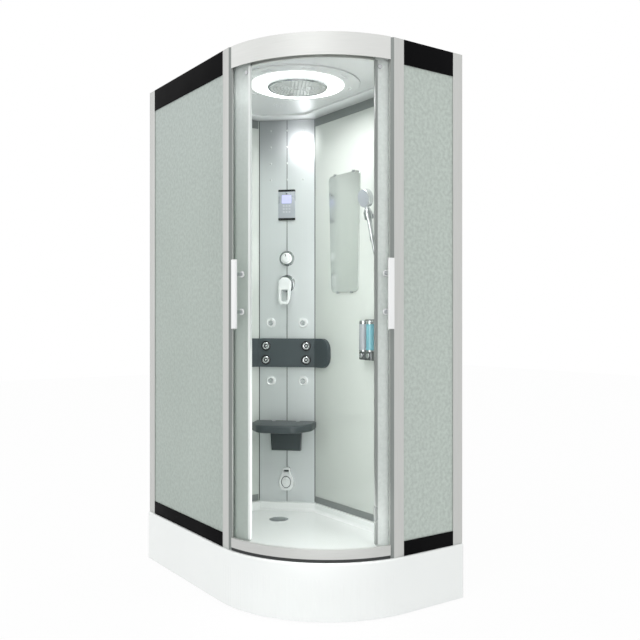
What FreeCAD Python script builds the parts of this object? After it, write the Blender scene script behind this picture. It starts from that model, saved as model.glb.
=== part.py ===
import FreeCAD, Part
import math
import os
import Sketcher
from FreeCAD import Placement, Rotation, Vector

# Corner steam shower cabin, millimetres and degrees.
# Row frame: +X right and +Y back into the room corner, +Z up.
# The origin is on the floor under the middle of the tray.
# The rounded front corner is at (+X, -Y) and the column stands across the room corner at (-X, +Y).

SIZES = {
    # tray
    "tray_length": 1200,
    "tray_width": 800,
    "tray_height": 210,
    "tray_corner": 500,
    "tray_small_corner": 18,
    "tray_wall": 6,
    "skirt_gap": 4,
    "rim_width": 60,
    "rim_round": 5,
    "ledge_width": 40,
    "ledge_height": 188,
    "ledge_column": 38,
    "well_floor": 150,
    "well_round": 16,
    "shell_thickness": 8,
    "drain_x": -337,
    "drain_y": 136,
    "drain_hole": 40,
    "drain_cover_radius": 44.5,
    "trap_radius": 44,
    "trap_depth": 96,
    "trap_wall": 3,
    "waste_pipe_radius": 25,
    "waste_pipe_step": 1,
    "waste_spigot": 40,
    "waste_pipe_height": 65,
    "waste_pipe_stub": 2,
    "waste_notch": 60,
    "frame_tube": 30,
    "tube_wall": 2,
    "foot_radius": 26,
    "foot_pad": 8,
    "foot_stud": 6,
    # cabin frame
    "frame_inset": 10,
    "frame_top": 2100,
    "frame_left_inset": 5,
    "frame_rear_inset": 6,
    "profile_width_front": 54,
    "profile_width_side": 49,
    "profile_depth": 24,
    "profile_wall": 2,
    "panel_depth": 16,
    "post_start": 3,
    "post_face": 46,
    "post_bevel": 12,
    "post_bevel_depth": 9,
    "top_band": 91,
    "bottom_band": 54,
    "glass_thickness": 6,
    "glass_inset": 4,
    "slot_depth": 10,
    "fit_gap": 0.3,
    # curved rails
    "top_rail_height": 82,
    "rail_wall": 3,
    "rail_web": 4,
    "ceiling": 2058,
    "track_width": 12,
    "track_thickness": 4,
    "track_reach": 18,
    "track_margin": 1,
    "gasket_height": 12,
    "gasket_inset": 2,
    "bottom_rail_height": 36,
    "bottom_rail_depth": 14,
    "guide_floor": 5,
    "guide_lip": 4,
    "guide_lip_height": 12,
    "guide_reach": 14,
    # doors
    "door_clearance": 4,
    "door_arc": 40,
    "door_open_left": 27.5,
    "door_open_right": 31.2,
    "door_stop_left": 3.7,
    "door_bottom": 236,
    "door_top": 2030,
    "closed_gap": 0.5,
    "seal_width": 10,
    "seal_wall": 3,
    "handle_angle": 5.2,
    "handle_low": 1042,
    "handle_high": 1297,
    "handle_width": 24,
    "handle_depth": 14,
    "handle_round": 5,
    "handle_standoff": 33,
    "bolt_low": 1104,
    "bolt_high": 1244,
    "standoff_radius": 6.5,
    "bolt_radius": 4,
    "bolt_grip": 18,
    "cap_radius": 11,
    "cap_depth": 8,
    "carrier_offset": 19,
    "carrier_height": 1992,
    "carrier_radius": 8,
    "carrier_depth": 16,
    "carrier_arm": 3,
    "carrier_arm_width": 14,
    "carrier_cap": 2,
    "roller_radius": 11,
    "roller_width": 6,
    "roller_bore_gap": 0.05,
    "axle_radius": 3,
    "guide_block": 10,
    # rear walls and column
    "wall_left_inset": 13,
    "wall_rear_inset": 23,
    "wall_thickness": 8,
    "column_cut": 200,
    "column_seam": 4,
    "panel_sheet": 2,
    "panel_flange": 22,
    "edge_strip": 5,
    "trim_low": 30,
    "trim_high": 45,
    "trim_thickness": 3,
    "nozzle_spread": 81,
    "nozzle_top": 2000,
    "nozzle_pitch": 80,
    "nozzle_radius": 4.5,
    "nozzle_height": 5,
    "nozzle_shank": 3,
    "nozzle_shank_length": 10,
    # controls
    "panel_width": 84,
    "panel_rise": 187,
    "panel_tall": 149,
    "panel_thickness": 12,
    "panel_round": 4,
    "display_width": 52,
    "display_rise": 76,
    "display_tall": 51,
    "display_depth": 1.5,
    "selector_rise": 122,
    "selector_plate": 37.5,
    "selector_plate_depth": 8,
    "selector_radius": 27,
    "selector_depth": 26,
    "mixer_height": 1252,
    "mixer_plate": 42,
    "mixer_plate_depth": 9,
    "spindle_radius": 12,
    "spindle_back": 20,
    "ball_radius": 26,
    "ball_centre": 21,
    "lever_width": 58,
    "lever_top": 28,
    "lever_drop": 102,
    "lever_root": 28,
    "lever_reach": 72,
    "lever_thickness": 11,
    "lever_rim": 13,
    "valve_depth": 45,
    "valve_radius": 20,
    "valve_span": 75,
    "inlet_radius": 10.48,
    "inlet_length": 15,
    "inlet_drop": 42,
    "riser_radius": 8,
    "riser_fitting": 3,
    "riser_top": 2078,
    # jets
    "jet_spread": 80,
    "jet_high": 1060,
    "jet_low": 777,
    "jet_radius": 23.5,
    "jet_depth": 7,
    "jet_sleeve": 17,
    "jet_sleeve_wall": 2,
    "jet_sleeve_length": 18,
    "jet_ball": 14,
    "jet_ball_centre": 2,
    "jet_ball_gap": 0.3,
    "jet_nose": 9,
    # massage pad
    "pad_low": 845,
    "pad_high": 984,
    "pad_depth": 25,
    "pad_wing": 78,
    "pad_wing_thickness": 18,
    "pad_round": 55,
    "pad_jet_spread": 100,
    "pad_jet_high": 948,
    "pad_jet_low": 880,
    "pad_jet_radius": 24,
    "pad_jet_cup": 14,
    "pad_jet_depth": 6,
    # seat
    "seat_top": 585,
    "seat_thickness": 36,
    "seat_half": 149,
    "seat_back": 22,
    "seat_side": 125,
    "seat_front": 225,
    "seat_round": 60,
    "seat_edge": 8,
    "seat_pivot": 36,
    "pin_radius": 5,
    "pin_gap": 0.05,
    "ear_centre": 60,
    "ear_width": 20,
    "ear_radius": 11,
    "notch_gap": 0.5,
    "notch_half": 16,
    "bracket_low": 440,
    "bracket_high": 549,
    "bracket_top_half": 77.5,
    "bracket_bottom_half": 71,
    "bracket_depth": 34,
    "bracket_round": 8,
    "bracket_gap": 6,
    # steam
    "outlet_height": 286,
    "outlet_half_width": 37,
    "outlet_half_height": 42,
    "outlet_depth": 22,
    "outlet_round": 9,
    "outlet_neck": 22,
    "outlet_top": 356,
    "outlet_slot_low": 334,
    "outlet_slot_high": 345,
    "outlet_slot_half": 13,
    "steam_pipe_radius": 8,
    "steam_pipe_depth": 45,
    "generator_half": 48,
    "generator_front": 30,
    "generator_back": 86,
    "generator_low": 330,
    "generator_high": 620,
    # wall equipment
    "mirror_top": 1750,
    "mirror_bottom": 1203,
    "mirror_top_left": -269,
    "mirror_top_right": -27,
    "mirror_bottom_left": -247,
    "mirror_bottom_right": -42,
    "mirror_thickness": 6,
    "mirror_round": 24,
    "shower_x": 105,
    "shower_reach": 62,
    "shower_lean": 12.3,
    "holder_height": 1525,
    "holder_plate": 24,
    "holder_plate_depth": 8,
    "holder_arm": 9,
    "holder_cup": 19,
    "holder_half": 17,
    "handle_tube": 11,
    "handle_tube_gap": 0.4,
    "shower_low": 1432,
    "shower_collar": 16,
    "shower_collar_height": 6,
    "shower_tip": 8,
    "shower_neck": 1576,
    "head_radius": 40,
    "head_depth": 26,
    "head_height": 1600,
    "elbow_x": 300,
    "elbow_height": 1010,
    "elbow_plate": 26,
    "elbow_drop": 34,
    "elbow_radius": 10,
    "elbow_reach": 42,
    "hose_diameter": 14,
    "dispenser_x": 57,
    "dispenser_low": 895,
    "dispenser_high": 1076,
    "dispenser_half": 47,
    "dispenser_plate": 10,
    "tube_spread": 24,
    "tube_radius": 20,
    "tube_low": 940,
    "tube_centre": 32,
    "button_radius": 11,
    "button_height": 918,
    "button_travel": 6,
    "button_length": 26,
    "pump_depth": 44,
    # roof
    "roof_thickness": 6,
    "roof_step_radius": 262,
    "roof_step": 6,
    "rain_x": 25,
    "rain_y": 2,
    "rain_radius": 124,
    "rain_depth": 12,
    "rain_stem": 10,
    "light_inner": 128,
    "light_outer": 195,
    "light_depth": 4,
    "vent_radius": 226,
    "vent_length": 46,
    "vent_width": 8,
    "vent_count": 8,
    "fan_x": -289,
    "fan_y": 117,
    "fan_radius": 50,
    "fan_wall": 3,
    "fan_height": 26,
    "fan_hub": 14,
    "fan_blades": 7,
    "fan_gap": 2,
    "fan_pin": 3,
    "spoke_width": 5,
    "spoke_height": 3,
}


class Formula:
    """A number together with the sheet formula that gives it."""

    def __init__(self, value, text):
        self.value = value
        self.text = text

    def __add__(self, other):
        other = formula(other)
        return Formula(self.value + other.value, f"({self.text} + {other.text})")

    def __sub__(self, other):
        other = formula(other)
        return Formula(self.value - other.value, f"({self.text} - {other.text})")

    def __mul__(self, other):
        other = formula(other)
        return Formula(self.value * other.value, f"({self.text} * {other.text})")

    def __truediv__(self, other):
        other = formula(other)
        return Formula(self.value / other.value, f"({self.text} / {other.text})")

    def __radd__(self, other):
        return formula(other) + self

    def __rsub__(self, other):
        return formula(other) - self

    def __rmul__(self, other):
        return formula(other) * self

    def __rtruediv__(self, other):
        return formula(other) / self

    def __neg__(self):
        return Formula(-self.value, f"(0 - {self.text})")


def formula(number):
    """Turn a plain number into a formula, and leave a formula as it is."""
    if isinstance(number, Formula):
        return number
    return Formula(float(number), f"{float(number):.9f}")


def cosine(angle):
    """Cosine of an angle in degrees."""
    angle = formula(angle)
    return Formula(math.cos(math.radians(angle.value)), f"cos({angle.text})")


def sine(angle):
    """Sine of an angle in degrees."""
    angle = formula(angle)
    return Formula(math.sin(math.radians(angle.value)), f"sin({angle.text})")


def arc_angle(length, radius):
    """Angle in degrees of an arc of this length."""
    return length / radius * (180 / math.pi)


class Names:
    """The sheet's sizes, each as a formula under its own name."""


document = FreeCAD.newDocument("steam_shower_cabin")
sheet = document.addObject("Spreadsheet::Sheet", "sizes")
S = Names()
for row, (alias, number) in enumerate(SIZES.items(), start=1):
    sheet.set(f"A{row}", alias)
    sheet.set(f"B{row}", str(number))
    sheet.setAlias(f"B{row}", alias)
    setattr(S, alias, Formula(float(number), f"sizes.{alias}"))
document.recompute()

# Places that many pieces share.
HALF_LENGTH = S.tray_length / 2
HALF_WIDTH = S.tray_width / 2
ARC_X = HALF_LENGTH - S.tray_corner
ARC_Y = S.tray_corner - HALF_WIDTH
FRONT_Y = S.frame_inset - HALF_WIDTH
SIDE_X = HALF_LENGTH - S.frame_inset
FRAME_RADIUS = S.tray_corner - S.frame_inset
FRAME_LEFT = S.frame_left_inset - HALF_LENGTH
FRAME_REAR = HALF_WIDTH - S.frame_rear_inset
WALL_X = S.wall_left_inset - HALF_LENGTH
WALL_Y = HALF_WIDTH - S.wall_rear_inset
COLUMN_X = WALL_X + S.column_cut / 2
COLUMN_Y = WALL_Y - S.column_cut / 2
COLUMN_HALF = S.column_cut * math.sqrt(0.5)
POST_END = S.post_start + S.post_face + S.post_bevel
POST_INNER = FRAME_RADIUS - S.panel_depth
GLASS_OUTER = POST_INNER - S.door_clearance
GLASS_INNER = GLASS_OUTER - S.glass_thickness
RAIL_LOW = S.frame_top - S.top_rail_height
FLOOR_UNDER = S.well_floor - S.shell_thickness
PROFILE_LEFT = FRAME_LEFT + S.profile_width_front
PROFILE_REAR = FRAME_REAR - S.profile_width_side
ROOF_UNDER = S.ceiling - S.roof_step
SELECTOR_HEIGHT = S.mixer_height + S.selector_rise
PANEL_LOW = SELECTOR_HEIGHT + S.panel_rise
PANEL_HIGH = PANEL_LOW + S.panel_tall
DISPLAY_LOW = PANEL_LOW + S.display_rise
DISPLAY_HIGH = DISPLAY_LOW + S.display_tall
CORNER_MIDDLE = -45

ROOM = (0, 0, 0)
COLUMN = (COLUMN_X, COLUMN_Y, 45)
REAR_WALL = (0, WALL_Y, 0)


def around(angle):
    """Frame at the arc centre whose X axis points outwards at this angle."""
    return (ARC_X, ARC_Y, angle)


def place(thing, frame):
    """Put a body in a frame: two coordinates and a turn about the vertical."""
    x, y, turn = (formula(number) for number in frame)
    thing.Placement = Placement(Vector(x.value, y.value, 0), Rotation(Vector(0, 0, 1), turn.value))
    thing.setExpression("Placement.Base.x", x.text)
    thing.setExpression("Placement.Base.y", y.text)
    if turn.value:
        thing.setExpression("Placement.Rotation.Angle", turn.text)


def new_body(name, frame=ROOM):
    """An empty body in its frame."""
    body = document.addObject("PartDesign::Body", name)
    body.Label = name
    place(body, frame)
    return body


def origin_plane(body, role):
    """The body's own origin plane with this role."""
    return next(plane for plane in body.Origin.OriginFeatures if plane.Role == role)


def new_sketch(body, role, start=0):
    """A sketch on an origin plane, moved along the plane's normal."""
    start = formula(start)
    sketch = body.newObject("Sketcher::SketchObject", body.Name + "_sketch")
    sketch.AttachmentSupport = [(origin_plane(body, role), "")]
    sketch.MapMode = "FlatFace"
    sketch.AttachmentOffset = Placement(Vector(0, 0, start.value), Rotation())
    sketch.setExpression("AttachmentOffset.Base.z", start.text)
    return sketch


def fix_coordinate(sketch, curve, end, kind, number):
    """Tie one coordinate of a point of a sketch to a formula."""
    number = formula(number)
    if abs(number.value) < 1e-9:
        axis = -2 if kind == "DistanceX" else -1
        sketch.addConstraint(Sketcher.Constraint("PointOnObject", curve, end, axis))
        return
    index = sketch.addConstraint(Sketcher.Constraint(kind, -1, 1, curve, end, number.value))
    sketch.setExpression(f"Constraints[{index}]", number.text)


def fix_point(sketch, curve, end, x, y):
    """Tie a point of a sketch to its two formulas."""
    fix_coordinate(sketch, curve, end, "DistanceX", x)
    fix_coordinate(sketch, curve, end, "DistanceY", y)


def draw(sketch, points):
    """Draw a closed outline. A point is (x, y), or (x, y, centre x, centre y, turn) at the end of an arc."""
    first = sketch.GeometryCount
    count = len(points)
    for index, point in enumerate(points):
        before = points[index - 1]
        start = Vector(formula(before[0]).value, formula(before[1]).value, 0)
        stop = Vector(formula(point[0]).value, formula(point[1]).value, 0)
        if len(point) == 2:
            sketch.addGeometry(Part.LineSegment(start, stop), False)
            continue
        centre = Vector(formula(point[2]).value, formula(point[3]).value, 0)
        low, high = (start, stop) if point[4] > 0 else (stop, start)
        circle = Part.Circle(centre, Vector(0, 0, 1), (start - centre).Length)
        low_angle = math.atan2(low.y - centre.y, low.x - centre.x)
        high_angle = math.atan2(high.y - centre.y, high.x - centre.x)
        sketch.addGeometry(Part.ArcOfCircle(circle, low_angle, high_angle), False)
    ends = []
    for point in points:
        ends.append((1, 2) if len(point) == 2 or point[4] > 0 else (2, 1))
    for index in range(count):
        following = (index + 1) % count
        sketch.addConstraint(Sketcher.Constraint(
            "Coincident", first + index, ends[index][1], first + following, ends[following][0]))
    for index, point in enumerate(points):
        fix_point(sketch, first + index, ends[index][1], point[0], point[1])
        if len(point) > 2:
            before = points[index - 1]
            chord_x = abs(formula(point[0]).value - formula(before[0]).value)
            chord_y = abs(formula(point[1]).value - formula(before[1]).value)
            across = chord_x > chord_y
            fix_coordinate(sketch, first + index, 3, "DistanceY" if across else "DistanceX",
                           point[3] if across else point[2])


def rectangle(low_x, high_x, low_y, high_y):
    """Corner points of a rectangle."""
    return [(low_x, low_y), (high_x, low_y), (high_x, high_y), (low_x, high_y)]


def mirrored(points):
    """Points of the right half of an outline, followed by the left half."""
    return points + [(-point[0], point[1]) for point in reversed(points)]


def pad(body, role, start, length, *outlines, subtract=False, middle=False):
    """Pad outlines, or cut them from the body, along the plane's normal."""
    sketch = new_sketch(body, role, start)
    for points in outlines:
        draw(sketch, points)
    return extrude(body, sketch, length, subtract, middle)


def extrude(body, sketch, length, subtract, middle):
    """Extrude a sketch along its normal, as material or as a cut whose volume is compared."""
    length = formula(length)
    if subtract:
        document.recompute()
    before = body.Shape.Volume if subtract else 0
    feature = body.newObject("PartDesign::Pocket" if subtract else "PartDesign::Pad", body.Name + "_run")
    feature.Profile = sketch
    feature.Length = length.value
    feature.setExpression("Length", length.text)
    feature.Midplane = middle
    if subtract:
        feature.Reversed = True
    sketch.Visibility = False
    body.Tip = feature
    document.recompute()
    if subtract and not feature.Shape.Volume < before - 1e-6:
        raise RuntimeError(f"{body.Label}: a cut removes nothing")
    return feature


def revolve(body, outline, angle=360, subtract=False):
    """Turn an outline in the body's XZ plane about its vertical axis, evenly to both sides."""
    sketch = new_sketch(body, "XZ_Plane")
    draw(sketch, outline)
    return turn(body, sketch, (sketch, ["V_Axis"]), angle, subtract)


def revolve_forward(body, outline, height):
    """Turn an outline about the axis that points out of the wall at this height: (radius, reach) points."""
    sketch = new_sketch(body, "YZ_Plane")
    height = formula(height)
    draw(sketch, [(-reach, height + radius) for radius, reach in outline])
    axis = sketch.addGeometry(Part.LineSegment(Vector(-60, height.value, 0), Vector(60, height.value, 0)), True)
    sketch.addConstraint(Sketcher.Constraint("Horizontal", axis))
    fix_point(sketch, axis, 1, -60, height)
    index = sketch.addConstraint(Sketcher.Constraint("DistanceX", -1, 1, axis, 2, 60))
    sketch.setExpression(f"Constraints[{index}]", "60")
    return turn(body, sketch, (sketch, ["Axis0"]), 360, False)


def turn(body, sketch, axis, angle, subtract):
    """Revolve a sketch about an axis."""
    angle = formula(angle)
    feature = body.newObject(
        "PartDesign::Groove" if subtract else "PartDesign::Revolution", body.Name + "_turn")
    feature.Profile = sketch
    feature.ReferenceAxis = axis
    feature.Angle = angle.value
    if angle.value < 360:
        feature.setExpression("Angle", angle.text)
        feature.Midplane = True
    sketch.Visibility = False
    body.Tip = feature
    document.recompute()
    return feature


def block(body, low, high, subtract=False):
    """A block between two corners, added to the body or cut from it."""
    kind = "PartDesign::SubtractiveBox" if subtract else "PartDesign::AdditiveBox"
    feature = document.addObject(kind, body.Name + "_block")
    low = [formula(number) for number in low]
    high = [formula(number) for number in high]
    for side, start, stop in zip(("Length", "Width", "Height"), low, high):
        setattr(feature, side, stop.value - start.value)
        feature.setExpression(side, (stop - start).text)
    feature.Placement = Placement(Vector(*(number.value for number in low)), Rotation())
    for axis, number in zip("xyz", low):
        feature.setExpression(f"Placement.Base.{axis}", number.text)
    body.addObject(feature)
    body.Tip = feature
    return feature


AXES = {
    "x": Rotation(Vector(0, 1, 0), 90),
    "y": Rotation(Vector(1, 0, 0), -90),
    "-y": Rotation(Vector(1, 0, 0), 90),
    "z": Rotation(),
    "-z": Rotation(Vector(1, 0, 0), 180),
}


def cylinder(body, axis, base, radius, length, subtract=False):
    """A cylinder from a base point along an axis, added to the body or cut from it."""
    kind = "PartDesign::SubtractiveCylinder" if subtract else "PartDesign::AdditiveCylinder"
    feature = document.addObject(kind, body.Name + "_round")
    base = [formula(number) for number in base]
    for name, number in (("Radius", formula(radius)), ("Height", formula(length))):
        setattr(feature, name, number.value)
        feature.setExpression(name, number.text)
    feature.Placement = Placement(Vector(*(number.value for number in base)), AXES[axis])
    for coordinate, number in zip("xyz", base):
        feature.setExpression(f"Placement.Base.{coordinate}", number.text)
    body.addObject(feature)
    body.Tip = feature
    return feature


def edges_where(shape, test):
    """Names of the edges whose middle point and direction pass a test."""
    found = []
    for index, edge in enumerate(shape.Edges, start=1):
        middle = edge.valueAt((edge.FirstParameter + edge.LastParameter) / 2)
        if test(edge, middle):
            found.append(f"Edge{index}")
    return found


def is_upright(edge):
    """Whether an edge runs straight up."""
    ends = edge.Vertexes
    if len(ends) < 2:
        return False
    run = ends[1].Point - ends[0].Point
    return abs(run.x) + abs(run.y) < 1e-6 and abs(run.z) > 1e-3


def fillet(body, radius, test):
    """Round the edges of the body's last feature that pass a test, in the body's own coordinates."""
    document.recompute()
    last = body.Tip
    names = edges_where(last.Shape, test)
    if not names:
        raise RuntimeError(f"{body.Label}: no edge to round")
    radius = formula(radius)
    feature = body.newObject("PartDesign::Fillet", body.Name + "_fillet")
    feature.Base = (last, names)
    feature.Radius = radius.value
    feature.setExpression("Radius", radius.text)
    body.Tip = feature
    document.recompute()
    return feature


def close(one, other, tolerance=0.01):
    """Whether two numbers are the same for an edge test."""
    return abs(one - formula(other).value) < tolerance


def combine(kind, name, base, tools):
    """Cut tools from a base, or keep what they share."""
    if len(tools) == 1:
        tool = tools[0]
    else:
        tool = document.addObject("Part::MultiFuse", name + "_tools")
        tool.Shapes = tools
    result = document.addObject(f"Part::{kind}", name)
    result.Base = base
    result.Tool = tool
    result.Label = name
    return result


def group(name, members):
    """Separate solids that make one node."""
    result = document.addObject("Part::Compound", name)
    result.Links = members
    result.Label = name
    return result


# ---------------------------------------------------------------- tray

def corner_outline(left, right, front, back):
    """A rectangle whose front right corner is an arc about the common centre."""
    return [
        (ARC_X, front),
        (right, ARC_Y, ARC_X, ARC_Y, 1),
        (right, back),
        (left, back),
        (left, front),
    ]


def well_outline(grow):
    """The well's outline, moved outwards by this much."""
    left = S.ledge_width - HALF_LENGTH - grow
    right = HALF_LENGTH - S.rim_width + grow
    front = S.rim_width - HALF_WIDTH - grow
    back = HALF_WIDTH - S.ledge_width + grow
    slant = WALL_X - WALL_Y + S.column_cut + S.ledge_column - grow * math.sqrt(2)
    return [
        (ARC_X, front),
        (right, ARC_Y, ARC_X, ARC_Y, 1),
        (right, back),
        (back + slant, back),
        (left, left - slant),
        (left, front),
    ]


def make_tray():
    """Acrylic tray: apron, rim, lowered ledge under the walls, well with drain hole, hollow below."""
    body = new_body("tray")
    pad(body, "XY_Plane", S.skirt_gap, S.tray_height - S.skirt_gap,
        rectangle(-HALF_LENGTH, HALF_LENGTH, -HALF_WIDTH, HALF_WIDTH))
    fillet(body, S.tray_corner, lambda edge, middle: is_upright(edge)
           and close(middle.x, HALF_LENGTH) and close(middle.y, -HALF_WIDTH))
    fillet(body, S.tray_small_corner, lambda edge, middle: is_upright(edge)
           and (close(middle.x, -HALF_LENGTH) or close(middle.y, HALF_WIDTH)))
    fillet(body, S.rim_round, lambda edge, middle: close(middle.z, S.tray_height))
    rise = S.tray_height - S.well_floor
    pad(body, "XY_Plane", S.well_floor, rise * 2, well_outline(formula(0)), subtract=True)
    inner = S.ledge_width + 5
    slant = WALL_X - WALL_Y + S.column_cut + S.ledge_column + 10
    left = inner - HALF_LENGTH
    back = HALF_WIDTH - inner
    pad(body, "XY_Plane", S.ledge_height, S.tray_height, [
        (-HALF_LENGTH - 20, FRONT_Y + S.profile_depth),
        (left, FRONT_Y + S.profile_depth),
        (left, left - slant),
        (back + slant, back),
        (SIDE_X - S.profile_depth, back),
        (SIDE_X - S.profile_depth, HALF_WIDTH + 20),
        (-HALF_LENGTH - 20, HALF_WIDTH + 20),
    ], subtract=True)
    fillet(body, S.well_round, lambda edge, middle: close(middle.z, S.well_floor)
           and not is_upright(edge))
    skirt = corner_outline(S.tray_wall - HALF_LENGTH, HALF_LENGTH - S.tray_wall,
                           S.tray_wall - HALF_WIDTH, HALF_WIDTH - S.tray_wall)
    pad(body, "XY_Plane", 0, FLOOR_UNDER, skirt, subtract=True)
    pad(body, "XY_Plane", FLOOR_UNDER - 1, S.ledge_height - S.shell_thickness - FLOOR_UNDER + 1,
        skirt, well_outline(S.shell_thickness), subtract=True)
    block(body, (S.drain_x - S.waste_notch, HALF_WIDTH - S.tray_wall - 2, 0),
          (S.drain_x + S.waste_notch, HALF_WIDTH + 2, S.waste_pipe_height + S.waste_notch), subtract=True)
    cylinder(body, "z", (S.drain_x, S.drain_y, FLOOR_UNDER - 5), S.drain_hole,
             S.shell_thickness + 10, subtract=True)
    return body


FRAME_FRONT = S.tray_corner * 0.2 - HALF_WIDTH
FRAME_BACK = HALF_WIDTH - S.rim_width - S.waste_pipe_stub * 5
FRAME_WEST = S.tray_corner * 0.2 - HALF_LENGTH
FRAME_EAST = HALF_LENGTH - S.rim_width * 2
FOOT_CROSS = S.tray_corner * 0.36 - HALF_WIDTH + S.tray_corner * 0.2
FOOT_PLACES = [
    (FRAME_WEST, FRAME_FRONT),
    (FRAME_WEST, FRAME_BACK),
    (formula(0), FRAME_FRONT),
    (formula(0), FRAME_BACK),
    (FRAME_EAST, FOOT_CROSS),
    (FRAME_EAST, FRAME_BACK),
    (formula(0), formula(0)),
]


def make_tray_frame():
    """Square steel tubes under the tray, three lengthways and three across, welded into one frame."""
    body = new_body("tray_frame")
    half = S.frame_tube / 2
    reach = S.frame_tube
    tubes = [
        (FRAME_WEST - reach, -half + FRAME_FRONT, reach, half + FRAME_FRONT),
        (FRAME_WEST - reach, -half, FRAME_EAST + reach, half),
        (FRAME_WEST - reach, -half + FRAME_BACK, FRAME_EAST + reach, half + FRAME_BACK),
        (FRAME_WEST - half, FRAME_FRONT, FRAME_WEST + half, FRAME_BACK),
        (-half, FRAME_FRONT, half, FRAME_BACK),
        (FRAME_EAST - half, FOOT_CROSS - half, FRAME_EAST + half, FRAME_BACK),
    ]
    low = FLOOR_UNDER - S.frame_tube
    for left, front, right, back in tubes:
        block(body, (left, front, low), (right, back, FLOOR_UNDER))
    wall = S.tube_wall
    for left, front, right, back in tubes[:3]:
        block(body, (left - 1, front + wall, low + wall), (right + 1, back - wall, FLOOR_UNDER - wall),
              subtract=True)
    return body


def make_feet():
    """Levelling feet: a round pad with a threaded stud up to the frame."""
    feet = []
    low = FLOOR_UNDER - S.frame_tube
    for number, (x, y) in enumerate(FOOT_PLACES, start=1):
        foot = new_body(f"foot_{number}", (x, y, 0))
        revolve(foot, [
            (0, 0),
            (S.foot_radius, 0),
            (S.foot_radius, S.foot_pad),
            (S.foot_stud * 2, S.foot_pad * 2.5),
            (S.foot_stud, S.foot_pad * 2.5),
            (S.foot_stud, low),
            (0, low),
        ])
        feet.append(foot)
    return group("leveling_feet", feet)


def make_drain_trap():
    """Bottle trap below the drain hole, with its waste pipe to the rear."""
    body = new_body("drain_trap", (S.drain_x, S.drain_y, 0))
    floor = FLOOR_UNDER - S.trap_depth
    cylinder(body, "z", (0, 0, floor), S.trap_radius, S.trap_depth)
    cylinder(body, "z", (0, 0, FLOOR_UNDER - S.trap_wall * 2), S.trap_radius + 12, S.trap_wall * 2)
    end = HALF_WIDTH - S.waste_pipe_stub - S.drain_y
    pipe = S.waste_pipe_radius - S.waste_pipe_step
    cylinder(body, "y", (0, 0, S.waste_pipe_height), pipe, end)
    cylinder(body, "y", (0, end - S.waste_spigot, S.waste_pipe_height), S.waste_pipe_radius, S.waste_spigot)
    cylinder(body, "y", (0, 0, S.waste_pipe_height), pipe - S.trap_wall, end + 1, subtract=True)
    cylinder(body, "z", (0, 0, floor + S.trap_wall), S.trap_radius - S.trap_wall, S.trap_depth, subtract=True)
    return body


def make_drain_cover():
    """Domed cover over the drain hole, with a rim that centres it and a short stem."""
    body = new_body("drain_cover", (S.drain_x, S.drain_y, 0))
    floor = S.well_floor
    plug = S.drain_hole - 1
    revolve(body, [
        (0, floor - 22),
        (8, floor - 22),
        (8, floor - 3),
        (plug, floor - 3),
        (plug, floor),
        (S.drain_cover_radius, floor),
        (S.drain_cover_radius, floor + 2),
        (S.drain_cover_radius * 0.7, floor + 5),
        (0, floor + 6),
    ])
    return body


# ---------------------------------------------------------------- fixed frame

def corner_point(side, along, radius):
    """A point near a post: along the pane's plane from the tangent point, at a distance from the centre."""
    if side == "front":
        return (ARC_X + along, ARC_Y - radius)
    return (ARC_X + radius, ARC_Y - along)


def make_post(side):
    """Hollow post with a bevel towards the doors and a groove for the fixed pane."""
    body = new_body(f"{side}_post")
    start = S.post_start
    face_end = start + S.post_face
    outer = FRAME_RADIUS
    wall = S.profile_wall
    groove = S.slot_depth + S.fit_gap
    glass_out = outer - S.glass_inset + S.fit_gap
    glass_in = outer - S.glass_inset - S.glass_thickness - S.fit_gap
    shell = [
        corner_point(side, start, outer),
        corner_point(side, face_end, outer),
        corner_point(side, POST_END, outer - S.post_bevel_depth),
        corner_point(side, POST_END, POST_INNER),
        corner_point(side, start, POST_INNER),
        corner_point(side, start, glass_in),
        corner_point(side, start + groove, glass_in),
        corner_point(side, start + groove, glass_out),
        corner_point(side, start, glass_out),
    ]
    room = [
        corner_point(side, start + groove + wall, outer - wall),
        corner_point(side, face_end - wall, outer - wall),
        corner_point(side, face_end - wall, POST_INNER + wall),
        corner_point(side, start + groove + wall, POST_INNER + wall),
    ]
    pad(body, "XY_Plane", S.tray_height, S.frame_top - S.tray_height, shell, room)
    return body


def make_wall_profiles():
    """The two upright profiles at the walls, hollow, with a groove for the fixed pane."""
    low = S.tray_height
    height = S.frame_top - S.tray_height
    wall = S.profile_wall
    groove = S.slot_depth + S.fit_gap
    front = new_body("front_wall_profile")
    out = FRONT_Y + S.glass_inset - S.fit_gap
    inn = FRONT_Y + S.glass_inset + S.glass_thickness + S.fit_gap
    back = FRONT_Y + S.profile_depth
    pad(front, "XY_Plane", low, height, [
        (FRAME_LEFT, FRONT_Y), (PROFILE_LEFT, FRONT_Y), (PROFILE_LEFT, out), (PROFILE_LEFT - groove, out),
        (PROFILE_LEFT - groove, inn), (PROFILE_LEFT, inn), (PROFILE_LEFT, back), (FRAME_LEFT, back),
    ], rectangle(FRAME_LEFT + wall, PROFILE_LEFT - groove - wall, FRONT_Y + wall, back - wall))
    side = new_body("side_wall_profile")
    out = SIDE_X - S.glass_inset + S.fit_gap
    inn = SIDE_X - S.glass_inset - S.glass_thickness - S.fit_gap
    back = SIDE_X - S.profile_depth
    pad(side, "XY_Plane", low, height, [
        (SIDE_X, FRAME_REAR), (SIDE_X, PROFILE_REAR), (out, PROFILE_REAR), (out, PROFILE_REAR + groove),
        (inn, PROFILE_REAR + groove), (inn, PROFILE_REAR), (back, PROFILE_REAR), (back, FRAME_REAR),
    ], rectangle(back + wall, SIDE_X - wall, PROFILE_REAR + groove + wall, FRAME_REAR - wall))
    return group("wall_profiles", [front, side])


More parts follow.
